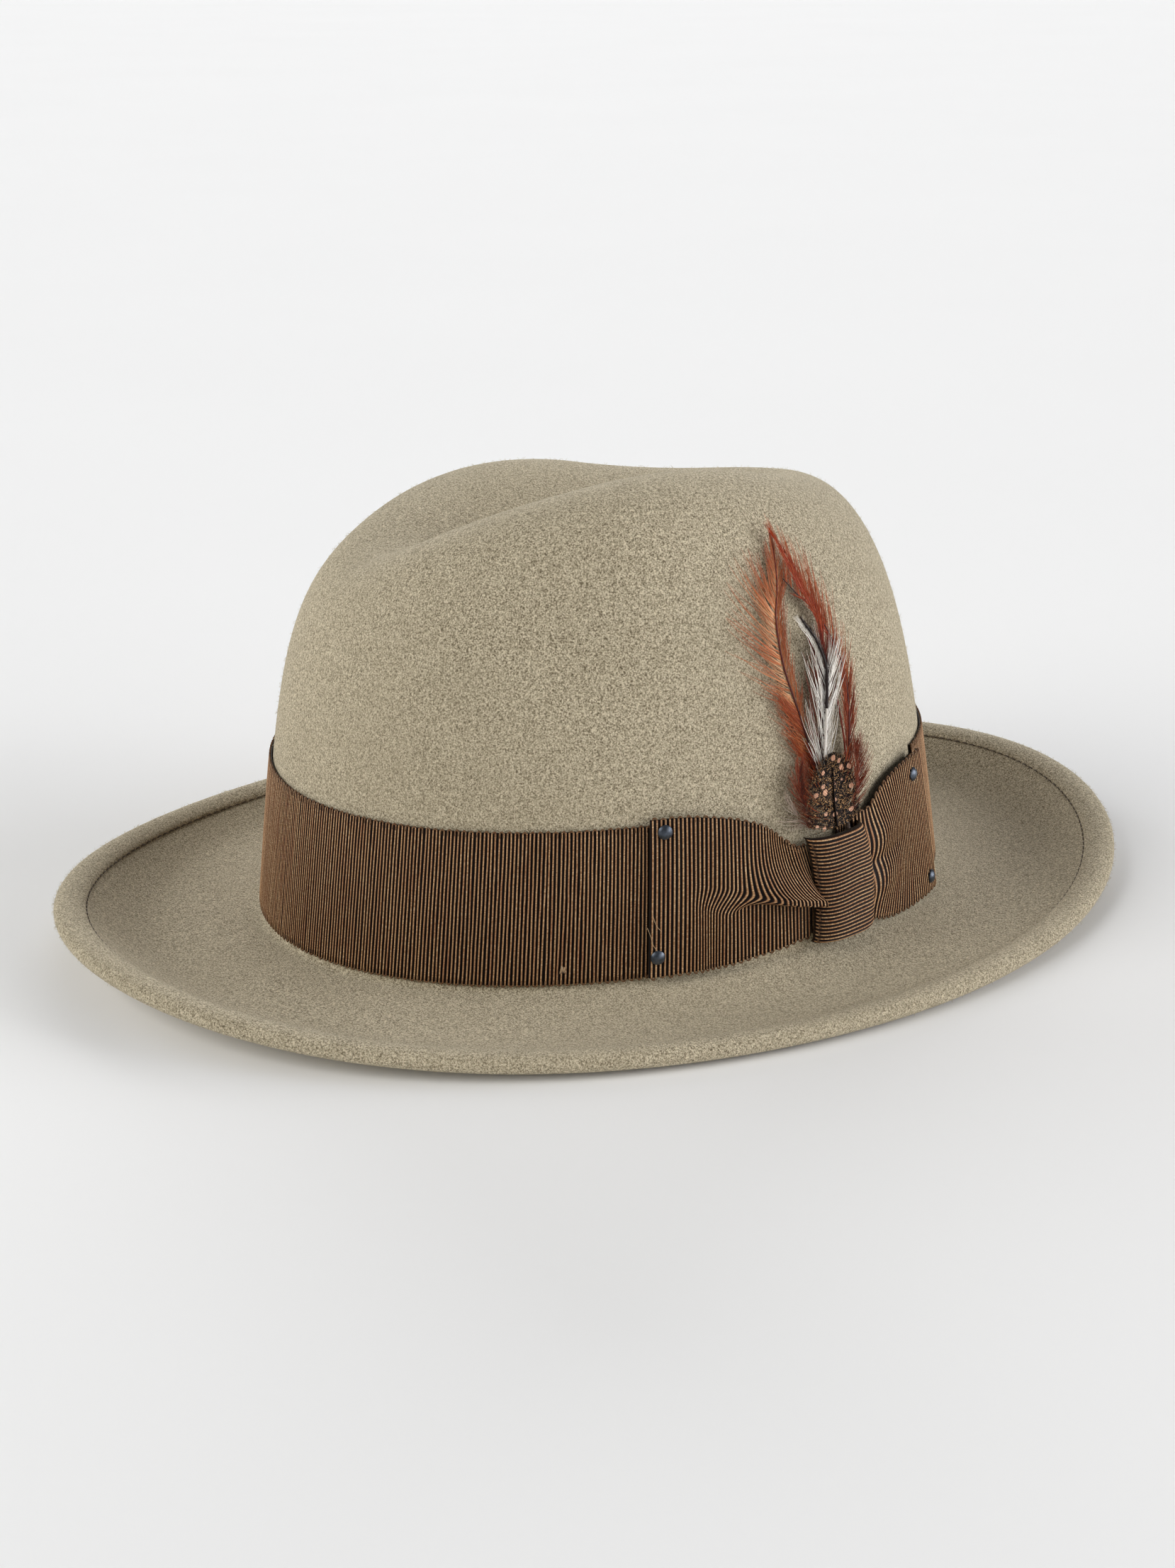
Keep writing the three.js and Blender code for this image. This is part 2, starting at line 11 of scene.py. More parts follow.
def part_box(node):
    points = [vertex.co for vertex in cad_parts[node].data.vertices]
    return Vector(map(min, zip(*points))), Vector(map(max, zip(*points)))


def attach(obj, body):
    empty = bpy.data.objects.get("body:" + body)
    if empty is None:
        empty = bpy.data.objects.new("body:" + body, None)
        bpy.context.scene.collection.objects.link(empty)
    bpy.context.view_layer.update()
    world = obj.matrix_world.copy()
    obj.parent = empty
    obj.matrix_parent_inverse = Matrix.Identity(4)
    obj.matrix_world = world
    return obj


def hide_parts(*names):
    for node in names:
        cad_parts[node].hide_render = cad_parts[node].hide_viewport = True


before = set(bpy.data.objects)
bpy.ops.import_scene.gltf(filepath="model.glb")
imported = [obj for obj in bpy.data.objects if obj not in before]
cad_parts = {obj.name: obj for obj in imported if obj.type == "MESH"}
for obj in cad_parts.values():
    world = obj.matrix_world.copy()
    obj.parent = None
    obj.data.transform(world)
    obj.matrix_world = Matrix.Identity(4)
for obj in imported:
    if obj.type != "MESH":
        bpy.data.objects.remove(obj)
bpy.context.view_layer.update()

MM = 0.001
DEGREE = math.pi / 180
TURN = 2 * math.pi
UP = np.array([0, 0, 1.0])

# Felt and crown, as in the CAD
FELT_HIGH = np.array(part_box("felt_body")[1]) / MM
FELT = 2.3
CROWN_HALF_WIDTH = 87.6
CROWN_HALF_LENGTH = 103.6
CROWN_HEIGHT = 129.4
CROWN_CORNER = 4.385
CROWN_TAPER_SIDE = 0.069
CROWN_TAPER_LENGTH = 0.194
CROWN_LEAN = -3.1
CROWN_TILT = 0.085
CROWN_CURVE = -0.108
CREASE_DEPTH, CREASE_HALF_WIDTH, CREASE_SHAPE = 29.4, 36.5, 1.655
CREASE_FLARE, CREASE_SHIFT = 0.13, -5.7
CREASE_FRONT, CREASE_FRONT_RUN = -62.4, 41.8
CREASE_BACK, CREASE_BACK_RUN = 45.9, 26.2
PINCH_DEPTH, PINCH_REACH = 6, 40
PINCH_Y, PINCH_SPREAD_Y = -52, 27
PINCH_HEIGHT, PINCH_SPREAD_Z = 88, 25

# Brim
BEAD = 2.6
BRIM_HALF_WIDTH = FELT_HIGH[0] - BEAD
BRIM_HALF_LENGTH = FELT_HIGH[1] - BEAD
WELT = 6.4
BAND_BASE = 6.6
BREAK_DROP = 1.5
VALLEY = (0.5, 0.58)
BRIM_CURL = 1.8

# Ribbon and bow
RIBBON_WIDTH = 43.9
RIBBON = 0.9
GAP = 0.3
BOW_START, BOW_END = 71.5, 132.8
BOW_LEAN = 3.4
KNOT_START, KNOT_END = 99.0, 112.5
KNOT_MIDDLE = (KNOT_START + KNOT_END) / 2
KNOT_HEIGHT = (1.5, 32.5)
WRAP_END = KNOT_END - 1.7
BOW_OFFSET = RIBBON + 2 * GAP + 0.05
BOW_THICKNESS = 1.5
BOW_FACE = BOW_OFFSET + 1.02
REAR_LIFT = 1.6
STUD_PLACES = ((73.75, 41.8), (72.75, 7), (126.8, 37.6), (131.4, 3.4))
TACK_PLACES = ((58.5, 5.3), (160, 5.3), (225, 5.3), (301.5, 5.3))
RIB_PITCH = 1.05
RIB_SAMPLES = 8
RIB_RELIEF, BOW_RELIEF = 0.48, 0.44
RIB_WIDTH = 0.72
RIB_JUMP = 7.31
LOOP_RADIUS = 0.26

# Feathers, as [degrees, height] from quill to tip; ROUND is millimetres per degree there
ROUND = 1.55
ORANGE_SPINE = ((104, 35.5), (101.8, 48), (98.9, 65), (96.4, 80), (96.2, 92), (98, 100.5), (100, 112.5))
RED_SPINE = ((106.5, 35.5), (107.5, 52), (106.7, 68), (105.3, 81), (105.2, 88), (103, 97.5), (99.8, 111))
BOWED_SPINE = ((107, 38), (108.6, 54), (109.5, 66), (109.3, 76), (107.3, 85), (104.5, 92.7), (101.3, 97.3),
               (99, 101.5))
STRIPED_SPINE = ((104, 36.5), (101.8, 50), (102.6, 63), (103.6, 72), (104, 78), (102.7, 85), (100.4, 90.5))
GUINEA_SPINE = ((102.9, 34.5), (102.6, 39.5), (102.5, 45), (102.6, 52.5))
TUFT_SPINE = ((99.6, 34.5), (98.2, 40), (97.2, 46), (97, 52))
TUFT_RIGHT = ((108.2, 36), (109.6, 42), (110.2, 48), (110, 54))
TUFT_FOOT = ((101, 34.5), (99, 36.5), (97, 39), (96, 43))
ORANGE_OFFSET, RED_OFFSET, STRIPED_OFFSET, GUINEA_OFFSET = 1.6, 2.8, 4.0, 5.3
STEM_RADIUS, STEM_LOW, STEM_HIGH = 0.95, 9, 34.5
STEM_OFFSET = BOW_OFFSET + BOW_THICKNESS + GAP + 0.4 + STEM_RADIUS

# Inside, as offsets in from the felt's outer face
LINING_OUT = FELT + 0.7
LINING = 0.5
LEATHER_OUT = LINING_OUT + LINING + GAP
LEATHER = 1.2
LEATHER_IN = LEATHER_OUT + LEATHER
SWEATBAND_HEIGHT = 48
REED_RADIUS = 1.1


# ---------- surfaces ----------

def smoothstep(low, high, value):
    s = np.clip((value - low) / (high - low), 0, 1)
    return s * s * (3 - 2 * s)


def saddle(angle):
    return -1.5 * np.cos(angle) - np.cos(2 * angle)


def crease_depth(x, y, lift):
    along = y / CROWN_HALF_LENGTH
    front = smoothstep(CREASE_FRONT - CREASE_FRONT_RUN, CREASE_FRONT + CREASE_FRONT_RUN, y)
    back = smoothstep(CREASE_BACK - CREASE_BACK_RUN, CREASE_BACK + CREASE_BACK_RUN, y)
    across = np.abs(x - CREASE_SHIFT) / (CREASE_HALF_WIDTH * (1 + CREASE_FLARE * along))
    return CREASE_DEPTH * np.exp(-across ** CREASE_SHAPE) * front * (1 - back) * smoothstep(0.55, 0.95, lift)


def pinch_depth(x, y, z):
    along = (y - PINCH_Y) / PINCH_SPREAD_Y
    up = (z - PINCH_HEIGHT) / PINCH_SPREAD_Z
    return PINCH_DEPTH * np.exp(-along * along - up * up) * np.tanh(x / PINCH_REACH)


def crown_point(angle, rise):
    """Outside of the felt crown; rise is 0 at the brim break and pi / 2 in the middle of the top."""
    angle, rise = np.broadcast_arrays(angle, rise)
    c, s = np.abs(np.cos(rise)), np.abs(np.sin(rise))
    r = (c ** CROWN_CORNER + s ** CROWN_CORNER) ** (-1 / CROWN_CORNER)
    reach, lift = r * c, r * s
    x = CROWN_HALF_WIDTH * reach * (1 - CROWN_TAPER_SIDE * lift * lift) * np.sin(angle)
    y = -CROWN_HALF_LENGTH * reach * (1 - CROWN_TAPER_LENGTH * lift) * np.cos(angle) + CROWN_LEAN * lift
    along, across = y / CROWN_HALF_LENGTH, x / CROWN_HALF_WIDTH
    bend = 1 + (CROWN_CURVE * along * along + CROWN_TILT * across) * lift * lift
    high = CROWN_HEIGHT * lift * bend - crease_depth(x, y, lift)
    foot = BAND_BASE + saddle(angle) * (1 - lift ** 3)
    return np.stack([x - pinch_depth(x, y, high), y, foot + high], -1)


def unit(v):
    return v / np.maximum(np.linalg.norm(v, axis=-1, keepdims=True), 1e-9)


def crown_normal(angle, rise):
    step = 0.01
    top = math.pi / 2 - 2 * step
    angle, rise = np.broadcast_arrays(angle, rise)
    around = crown_point(angle + step, rise) - crown_point(angle - step, rise)
    up = crown_point(angle, rise + step) - crown_point(angle, np.maximum(rise - step, 0))
    normal = unit(np.cross(around, up))
    lengthwise = crown_point(math.pi, top) - crown_point(0, top)
    sideways = crown_point(math.pi / 2, top) - crown_point(-math.pi / 2, top)
    return np.where((rise > top)[..., None], unit(np.cross(sideways, lengthwise)), normal)


def crown_shell(angle, rise, offset):
    offset = np.asarray(offset, float)
    return crown_point(angle, rise) + crown_normal(angle, rise) * offset[..., None]


def rise_at(angle, height):
    """The rise at which the crown's wall is at a height above the brim break."""
    angle, height = np.broadcast_arrays(angle, height)
    target = BAND_BASE + saddle(angle) + height
    low, high = np.zeros(angle.shape), np.full(angle.shape, 1.2)
    for _ in range(22):
        middle = (low + high) / 2
        below = crown_point(angle, middle)[..., 2] < target
        low, high = np.where(below, middle, low), np.where(below, high, middle)
    return (low + high) / 2


def wall(angle, height, offset):
    """A point on the crown's wall from its height above the brim break and its offset off the felt."""
    angle, height, offset = np.broadcast_arrays(*(np.asarray(v, float) for v in (angle, height, offset)))
    points = crown_shell(angle, rise_at(angle, np.maximum(height, 0)), offset)
    points[..., 2] += np.minimum(height, 0)
    return points


def wall_frame(degrees, height, offset):
    """A place on the wall with its directions: round the hat, up the wall and off it."""
    angle = np.float64(degrees * DEGREE)
    step = 0.005
    off = crown_normal(angle, rise_at(angle, np.float64(height)))
    around = unit(wall(angle + step, height, offset) - wall(angle - step, height, offset))
    return wall(angle, height, offset), around, np.cross(off, around), off


def bead_point(angle):
    sweep = 1.1 + 0.3 * np.cos(angle) + 4.1 * np.cos(2 * angle)
    z = BAND_BASE + sweep + 0.8 * (np.cos(4 * angle) - np.sin(angle))
    return np.stack([BRIM_HALF_WIDTH * np.sin(angle), -BRIM_HALF_LENGTH * np.cos(angle), z], -1)


def oval_outward(angle, half_width, half_length):
    angle = np.asarray(angle, float)
    return unit(np.stack([np.sin(angle) / half_width, -np.cos(angle) / half_length, 0 * angle], -1))


def edge_point(angle, out, up):
    """A point near the brim's edge: out from the bead's middle, up from its height."""
    outward = oval_outward(angle, BRIM_HALF_WIDTH, BRIM_HALF_LENGTH)
    point = bead_point(angle) + outward * np.asarray(out, float)[..., None]
    point[..., 2] += up
    return point


def break_point(angle, out, up):
    """A point near the brim break: out and up from the foot of the crown's outside."""
    point = crown_point(angle, 0 * angle) + oval_outward(angle, CROWN_HALF_WIDTH, CROWN_HALF_LENGTH) * out
    point[..., 2] += up
    return point


def brim_top(angle, share):
    inner = break_point(angle, 2.2, -BREAK_DROP)
    outer = edge_point(angle, -WELT, -0.2)
    angle, share = np.broadcast_arrays(angle, np.asarray(share, float))
    point = inner + (outer - inner) * share[..., None]
    inward = np.maximum(VALLEY[0] - share, 0) / VALLEY[0]
    outward = np.maximum(share - VALLEY[1], 0) / (1 - VALLEY[1])
    point[..., 2] = (FELT + (inner[..., 2] - FELT) * inward ** BRIM_CURL
                     + (outer[..., 2] - FELT) * outward ** BRIM_CURL)
    return point


def brim_under(angle, share):
    return brim_top(angle, share) - FELT * UP


# ---------- meshes ----------

def ring_angles(count):
    return np.arange(count) / count * TURN


def grid_faces(rows, columns, close_rows=False, close_columns=False):
    """Quads between neighbouring points of a grid, numbered row by row."""
    i, j = np.meshgrid(np.arange(rows if close_rows else rows - 1),
                       np.arange(columns if close_columns else columns - 1), indexing="ij")
    i2, j2 = (i + 1) % rows, (j + 1) % columns
    quads = [i * columns + j, i2 * columns + j, i2 * columns + j2, i * columns + j2]
    return np.stack(quads, -1).reshape(-1, 4)


def face_out(points, quads, triangles):
    """Turns the faces of closed pieces round if they face in."""
    a, b, c, d = (points[quads[:, k]] for k in range(4))
    e, f, g = (points[triangles[:, k]] for k in range(3))
    volume = np.sum(a * np.cross(b, c)) + np.sum(a * np.cross(c, d)) + np.sum(e * np.cross(f, g))
    if volume < 0:
        return quads[:, ::-1], triangles[:, ::-1]
    return quads, triangles


class Heap:
    """Collects closed pieces, then builds them as one mesh."""

    def __init__(self):
        self.points, self.quads, self.triangles, self.facts, self.count = [], [], [], {}, 0

    def add(self, points, quads, triangles=(), **facts):
        """Adds closed pieces in millimetres. Each fact is a number or a vector for every point."""
        points = np.asarray(points, float).reshape(-1, 3)
        quads = np.asarray(quads, int).reshape(-1, 4)
        triangles = np.asarray(triangles, int).reshape(-1, 3)
        quads, triangles = face_out(points, quads, triangles)
        self.points.append(points)
        self.quads.append(quads + self.count)
        self.triangles.append(triangles + self.count)
        for key, value in facts.items():
            self.facts.setdefault(key, []).append(np.asarray(value, np.float32))
        self.count += len(points)

    def build(self, name, smooth=True):
        points, quads, triangles = (np.concatenate(v) for v in (self.points, self.quads, self.triangles))
        mesh = bpy.data.meshes.new(name)
        mesh.vertices.add(len(points))
        mesh.vertices.foreach_set("co", (points * MM).astype(np.float32).ravel())
        mesh.loops.add(quads.size + triangles.size)
        loops = np.concatenate([quads.ravel(), triangles.ravel()])
        mesh.loops.foreach_set("vertex_index", loops.astype(np.int32))
        mesh.polygons.add(len(quads) + len(triangles))
        starts = np.concatenate([np.arange(len(quads)) * 4, quads.size + np.arange(len(triangles)) * 3])
        mesh.polygons.foreach_set("loop_start", starts.astype(np.int32))
        for key, parts in self.facts.items():
            values = np.concatenate(parts)
            flat = values.ndim == 1
            layer = mesh.attributes.new(key, "FLOAT" if flat else "FLOAT_VECTOR", "POINT")
            layer.data.foreach_set("value" if flat else "vector", values.ravel())
        mesh.update(calc_edges=True)
        mesh.validate()
        mesh.polygons.foreach_set("use_smooth", np.full(len(mesh.polygons), smooth))
        piece = bpy.data.objects.new(name, mesh)
        bpy.context.scene.collection.objects.link(piece)
        return piece


def single(name, points, quads, triangles=(), smooth=True, **facts):
    heap = Heap()
    heap.add(points, quads, triangles, **facts)
    return heap.build(name, smooth)


def circles(line, tangent, helper, radii, sides):
    """A circle of points across each point of a line."""
    side = unit(np.cross(tangent, helper))
    up = np.cross(side, tangent)
    turn = ring_angles(sides)[:, None]
    ring = side[..., None, :] * np.cos(turn) + up[..., None, :] * np.sin(turn)
    return line[..., None, :] + ring * radii[..., None, None]


def tubes(paths, radii, sides=6):
    """Closed tubes along many paths at once: paths (n, k, 3), radii (n, k). Returns points, quads, caps."""
    n, k, _ = paths.shape
    tangent = unit(np.gradient(paths, axis=1))
    helper = np.where(np.abs(tangent[..., 2:3]) < 0.9, UP, np.array([1.0, 0, 0]))
    points = circles(paths, tangent, helper, radii, sides)
    first = (np.arange(n) * k * sides)[:, None, None]
    quads = (grid_faces(k, sides, close_columns=True)[None] + first).reshape(-1, 4)
    fan = np.array([[0, j, j + 1] for j in range(1, sides - 1)])
    caps = (np.concatenate([fan, (k - 1) * sides + fan[:, ::-1]])[None] + first).reshape(-1, 3)
    return points.reshape(-1, 3), quads, caps


def loop_tube(line, radii, sides=8):
    """A closed ring of tube along a closed line (k, 3)."""
    tangent = unit(np.roll(line, -1, 0) - np.roll(line, 1, 0))
    points = circles(line, tangent, UP, np.broadcast_to(radii, len(line)), sides)
    return points.reshape(-1, 3), grid_faces(len(line), sides, True, True)


def slab(inner, outer):
    """Points and quads of a closed slab between two grids of points (rows, columns, 3)."""
    rows, columns, _ = inner.shape
    points = np.concatenate([inner.reshape(-1, 3), outer.reshape(-1, 3)])
    half = rows * columns
    face = grid_faces(rows, columns)
    border = np.concatenate([np.arange(columns - 1), np.arange(rows - 1) * columns + columns - 1,
                             (rows - 1) * columns + np.arange(columns - 1, 0, -1),
                             np.arange(rows - 1, 0, -1) * columns])
    after = np.roll(border, -1)
    sides = np.stack([border, after, half + after, half + border], -1)
    return points, np.concatenate([face[:, ::-1], half + face, sides[:, ::-1]])


def capped(rings, poles):
    """Points, quads and end fans of a closed form: a stack of rings between two poles."""
    count, columns, _ = rings.shape
    first = count * columns
    j = np.arange(columns)
    after = (j + 1) % columns
    last = first - columns
    fans = [np.stack([np.full(columns, first), after, j], -1),
            np.stack([np.full(columns, first + 1), last + j, last + after], -1)]
    quads = grid_faces(count, columns, close_columns=True)[:, ::-1]
    return np.concatenate([rings.reshape(-1, 3), poles]), quads, np.concatenate(fans)


def lathe(section, sides, place, around, up, off):
    """Turns a section [(radius, out), ...] about the direction off; its first and last radius are 0."""
    turn = ring_angles(sides)
    circle = np.cos(turn)[:, None] * around + np.sin(turn)[:, None] * up
    rings = np.stack([place + off * out + radius * circle for radius, out in section[1:-1]])
    return capped(rings, [place + off * section[0][1], place + off * section[-1][1]])


def spline(places, share):
    """A smooth curve through places, at shares of its length from 0 to 1."""
    places = np.asarray(places, float)
    padded = np.concatenate([2 * places[:1] - places[1:2], places, 2 * places[-1:] - places[-2:-1]])
    at = np.clip(share, 0, 1) * (len(places) - 1)
    i = np.minimum(at.astype(int), len(places) - 2)
    t = (at - i)[..., None]
    a, b, c, d = (padded[i + k] for k in range(4))
    bent = (2 * a - 5 * b + 4 * c - d) * t ** 2 + (3 * b - a - 3 * c + d) * t ** 3
    return 0.5 * (2 * b + (c - a) * t + bent)


# ---------- materials ----------

def srgb(r, g, b):
    """Linear colour from 0-255 display values."""
    c = np.array([r, g, b]) / 255
    return tuple(np.where(c <= 0.04045, c / 12.92, ((c + 0.055) / 1.055) ** 2.4)) + (1.0,)


def shade(colour, share):
    return tuple(min(share * c, 1) for c in colour[:3]) + (1.0,)


class Shader:
    """A small helper that keeps node building readable."""

    def __init__(self, name):
        self.material = bpy.data.materials.new(name)
        self.material.use_nodes = True
        self.tree = self.material.node_tree
        self.surface = self.tree.nodes["Principled BSDF"]

    def node(self, kind, inputs=None, **settings):
        node = self.tree.nodes.new("ShaderNode" + kind)
        for key, value in settings.items():
            setattr(node, key, value)
        for key, value in (inputs or {}).items():
            self.feed(node.inputs[key], value)
        return node

    def feed(self, socket, value):
        if isinstance(value, bpy.types.NodeSocket):
            self.tree.links.new(value, socket)
        else:
            socket.default_value = value

    def place(self):
        return self.node("TexCoord").outputs["Object"]

    def attribute(self, name, output="Fac"):
        return self.node("Attribute", attribute_name=name).outputs[output]

    def vector(self, operation, a, b):
        return self.node("VectorMath", {0: a, 1: b}, operation=operation).outputs[0]

    def stretch(self, vector, x, y):
        return self.vector("MULTIPLY", vector, (x, y, 0))

    def noise(self, place, scale, detail=3.0, roughness=0.55, distortion=0.0):
        return self.node("TexNoise", {"Vector": place, "Scale": scale, "Detail": detail,
                                      "Roughness": roughness, "Distortion": distortion}).outputs["Fac"]

    def cells(self, place, scale, feature="F1", randomness=1.0):
        return self.node("TexVoronoi", {"Vector": place, "Scale": scale, "Randomness": randomness},
                         feature=feature).outputs["Distance"]

    def math(self, operation, *values):
        return self.node("Math", dict(enumerate(values)), operation=operation).outputs[0]

    def between(self, value, low, high, to_low=0.0, to_high=1.0):
        return self.node("MapRange", {"Value": value, "From Min": low, "From Max": high,
                                      "To Min": to_low, "To Max": to_high}).outputs[0]

    def ramp(self, value, *stops):
        node = self.node("ValToRGB", {"Fac": value})
        elements = node.color_ramp.elements
        while len(elements) < len(stops):
            elements.new(0.5)
        for element, (position, colour) in zip(elements, stops):
            element.position = position
            element.color = colour
        return node.outputs["Color"]

    def mix(self, share, a, b):
        node = self.node("Mix", data_type="RGBA")
        for index, value in ((0, share), (6, a), (7, b)):
            self.feed(node.inputs[index], value)
        return node.outputs[2]

    def bump(self, height, distance, strength=1.0, normal=None):
        inputs = {"Height": height, "Distance": distance, "Strength": strength}
        if normal is not None:
            inputs["Normal"] = normal
        return self.node("Bump", inputs).outputs["Normal"]

    def set(self, **values):
        for key, value in values.items():
            self.feed(self.surface.inputs[key.replace("_", " ")], value)
        return self.material


def felt_material():
    """Brushed wool: fine swirled fibres over soft clumps, with slow changes of shade."""
    s = Shader("felt")
    place = s.place()
    fibre = s.noise(place, 2300, 3, 0.7, 0.5)
    clump = s.noise(place, 1000, 3, 0.6, 0.5)
    cloud = s.noise(place, 14, 3, 0.5)
    light, mid, dark = srgb(232, 220, 193), srgb(186, 173, 146), srgb(108, 96, 75)
    grain = s.math("ADD", s.math("MULTIPLY", fibre, 0.78), s.math("MULTIPLY", clump, 0.22))
    colour = s.ramp(grain, (0.39, dark), (0.5, mid), (0.6, light))
    colour = s.mix(s.between(cloud, 0.4, 0.7, 0.0, 0.25), colour, srgb(178, 166, 140))
    coarse = s.bump(clump, 0.0004, 0.4)
    return s.set(Base_Color=colour, Roughness=0.95, Normal=s.bump(fibre, 0.0005, 1.0, coarse),
                 Sheen_Weight=0.3, Sheen_Roughness=0.45, Sheen_Tint=srgb(236, 228, 208),
                 Specular_IOR_Level=0.12)


def nap_material():
    s = Shader("felt_nap")
    shade = s.noise(s.place(), 300, 2)
    colour = s.mix(shade, srgb(176, 163, 132), srgb(222, 212, 184))
    return s.set(Base_Color=colour, Roughness=0.9, Sheen_Weight=0.3, Sheen_Roughness=0.5,
                 Specular_IOR_Level=0.15)


def grosgrain_material(name, tone=1.0):
    """Ribbon ribs: rib is 0 in a groove and 1 on a crest; run tells ribs apart and is millimetres up. The
    grooves and the ribs' flanks carry painted shade.
    """
    def toned(*colour):
        return srgb(*(tone * c for c in colour))

    s = Shader(name)
    rib = s.attribute("rib")
    run = s.attribute("run", "Vector")
    yarn = s.noise(s.stretch(run, 1.1, 3.0), 1.0, 3, 0.7)
    strand = s.noise(s.stretch(run, 0.37, 0.05), 1.0, 2, 0.6)
    patch = s.noise(s.place(), 40, 3, 0.6)
    crest = s.ramp(yarn, (0.3, toned(128, 84, 52)), (0.5, toned(192, 148, 104)), (0.7, toned(244, 212, 168)))
    crest = s.mix(s.between(strand, 0.45, 0.7, 0.0, 0.5), crest, toned(146, 84, 50))
    crest = s.mix(s.between(patch, 0.45, 0.75, 0.0, 0.3), crest, toned(112, 76, 50))
    # Painted shade: dark brown on the ribs' flanks and near black in the grooves, where shade falls between
    # the ribs
    shaded_flank = s.mix(strand, srgb(26, 10, 5), srgb(54, 24, 12))
    groove = s.mix(s.between(rib, 0.1, 0.8), srgb(8, 3, 2), shaded_flank)
    colour = s.mix(s.between(rib, 0.8, 1.0), groove, crest)
    twist = s.bump(yarn, 0.00014, 0.8)
    return s.set(Base_Color=colour, Roughness=0.6, Normal=twist, Sheen_Weight=0.08, Sheen_Roughness=0.4,
                 Sheen_Tint=srgb(226, 190, 150), Specular_IOR_Level=0.2)


def thread_material(name, colour):
    s = Shader(name)
    fuzz = s.noise(s.place(), 2600, 3)
    base = s.mix(fuzz, shade(colour, 0.5), colour)
    return s.set(Base_Color=base, Roughness=0.8, Normal=s.bump(fuzz, 0.0001), Sheen_Weight=0.2)


def gunmetal_material():
    s = Shader("gunmetal")
    place = s.place()
    scuff = s.noise(place, 900, 4, 0.7)
    worn = s.noise(place, 260, 3, 0.6)
    colour = s.ramp(worn, (0.3, srgb(36, 41, 48)), (0.7, srgb(92, 100, 112)))
    return s.set(Base_Color=colour, Metallic=0.8, Roughness=s.between(scuff, 0.3, 0.7, 0.24, 0.5),
                 Normal=s.bump(scuff, 0.00005, 0.4), Coat_Weight=0.2, Coat_Roughness=0.25)


def barb_material(name):
    """Feather barbs whose colour, tint, is carried along each barb, with fine breaks in it."""
    s = Shader(name)
    tint = s.attribute("tint", "Vector")
    fine = s.noise(s.place(), 2200, 2, 0.6)
    colour = s.mix(s.between(fine, 0.3, 0.7), s.mix(0.2, tint, (0, 0, 0, 1)), tint)
    return s.set(Base_Color=colour, Roughness=0.5, Sheen_Weight=0.15, Sheen_Roughness=0.3,
                 Specular_IOR_Level=0.3)


def guinea_material():
    """Black-brown vane with round pale spots and fine tan scribbles; flat is millimetres on the vane."""
    s = Shader("guinea_vane")
    flat = s.attribute("flat", "Vector")
    tint = s.attribute("tint", "Vector")
    wander = s.node("TexNoise", {"Vector": flat, "Scale": 0.5}).outputs["Color"]
    bent = s.vector("ADD", flat, s.stretch(wander, 0.9, 0.9))
    spot = s.cells(bent, 0.34, randomness=0.5)
    scribble = s.noise(flat, 0.85, 2, 0.5, 1.2)
    line = s.math("ABSOLUTE", s.math("SUBTRACT", scribble, 0.5))
    base = s.mix(s.between(line, 0.012, 0.03), srgb(182, 140, 96), srgb(20, 9, 6))
    base = s.mix(s.between(spot, 0.33, 0.40), srgb(20, 10, 8), base)
    base = s.mix(s.between(spot, 0.25, 0.31), srgb(222, 172, 142), base)
    colour = s.mix(s.attribute("rust"), base, tint)
    return s.set(Base_Color=colour, Roughness=0.6, Specular_IOR_Level=0.15)


def leather_material():
    s = Shader("sweatband_leather")
    place = s.place()
    grain = s.math("MINIMUM", s.math("MULTIPLY", s.cells(place, 900.0, "DISTANCE_TO_EDGE"), 3.0), 1.0)
    stain = s.noise(place, 60, 4, 0.6)
    wear = s.noise(place, 14, 3, 0.6)
    colour = s.ramp(stain, (0.3, srgb(96, 60, 36)), (0.7, srgb(134, 90, 58)))
    colour = s.mix(s.math("MULTIPLY", grain, 0.25), colour, srgb(156, 110, 74))
    colour = s.mix(s.between(wear, 0.5, 0.8, 0.0, 0.3), colour, srgb(72, 44, 28))
    return s.set(Base_Color=colour, Roughness=s.between(stain, 0.3, 0.7, 0.36, 0.5),
                 Normal=s.bump(grain, 0.00008, 0.6), Specular_IOR_Level=0.45)


def satin_material(name, colour):
    """Satin: run is millimetres round the hat and down the cloth."""
    s = Shader(name)
    run = s.attribute("run", "Vector")
    weft = s.noise(s.stretch(run, 0.6, 9.0), 1.0, 2, 0.6)
    warp = s.noise(s.stretch(run, 7.0, 0.3), 1.0, 2, 0.6)
    cloud = s.noise(s.place(), 35, 3)
    base = s.mix(s.between(warp, 0.35, 0.65), shade(colour, 0.72), colour)
    base = s.mix(s.between(cloud, 0.4, 0.7, 0.0, 0.3), base, shade(colour, 1.3))
    return s.set(Base_Color=base, Roughness=0.34, Normal=s.bump(weft, 0.00005, 0.5), Sheen_Weight=0.3,
                 Anisotropic=0.5, Specular_IOR_Level=0.5)


def tag_material():
    """A woven label: a fine basket weave, run in millimetres."""
    s = Shader("woven_tag")
    run = s.attribute("run", "Vector")
    weave = s.node("TexChecker", {"Vector": run, "Scale": 3.5}).outputs["Fac"]
    soil = s.noise(s.place(), 120, 3, 0.6)
    colour = s.mix(weave, srgb(216, 207, 188), srgb(236, 230, 214))
    colour = s.mix(s.between(soil, 0.5, 0.8, 0.0, 0.4), colour, srgb(190, 176, 150))
    return s.set(Base_Color=colour, Roughness=0.8, Normal=s.bump(weave, 0.00006, 0.6))


def dress(piece, material, slot, *nodes, body="hat"):
    """Gives a piece its material and its body, and hides the CAD nodes it stands for; its slot is not used.
    """
    piece.data.materials.clear()
    piece.data.materials.append(material)
    if nodes:
        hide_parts(*nodes)
    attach(piece, body)


# ---------- felt ----------

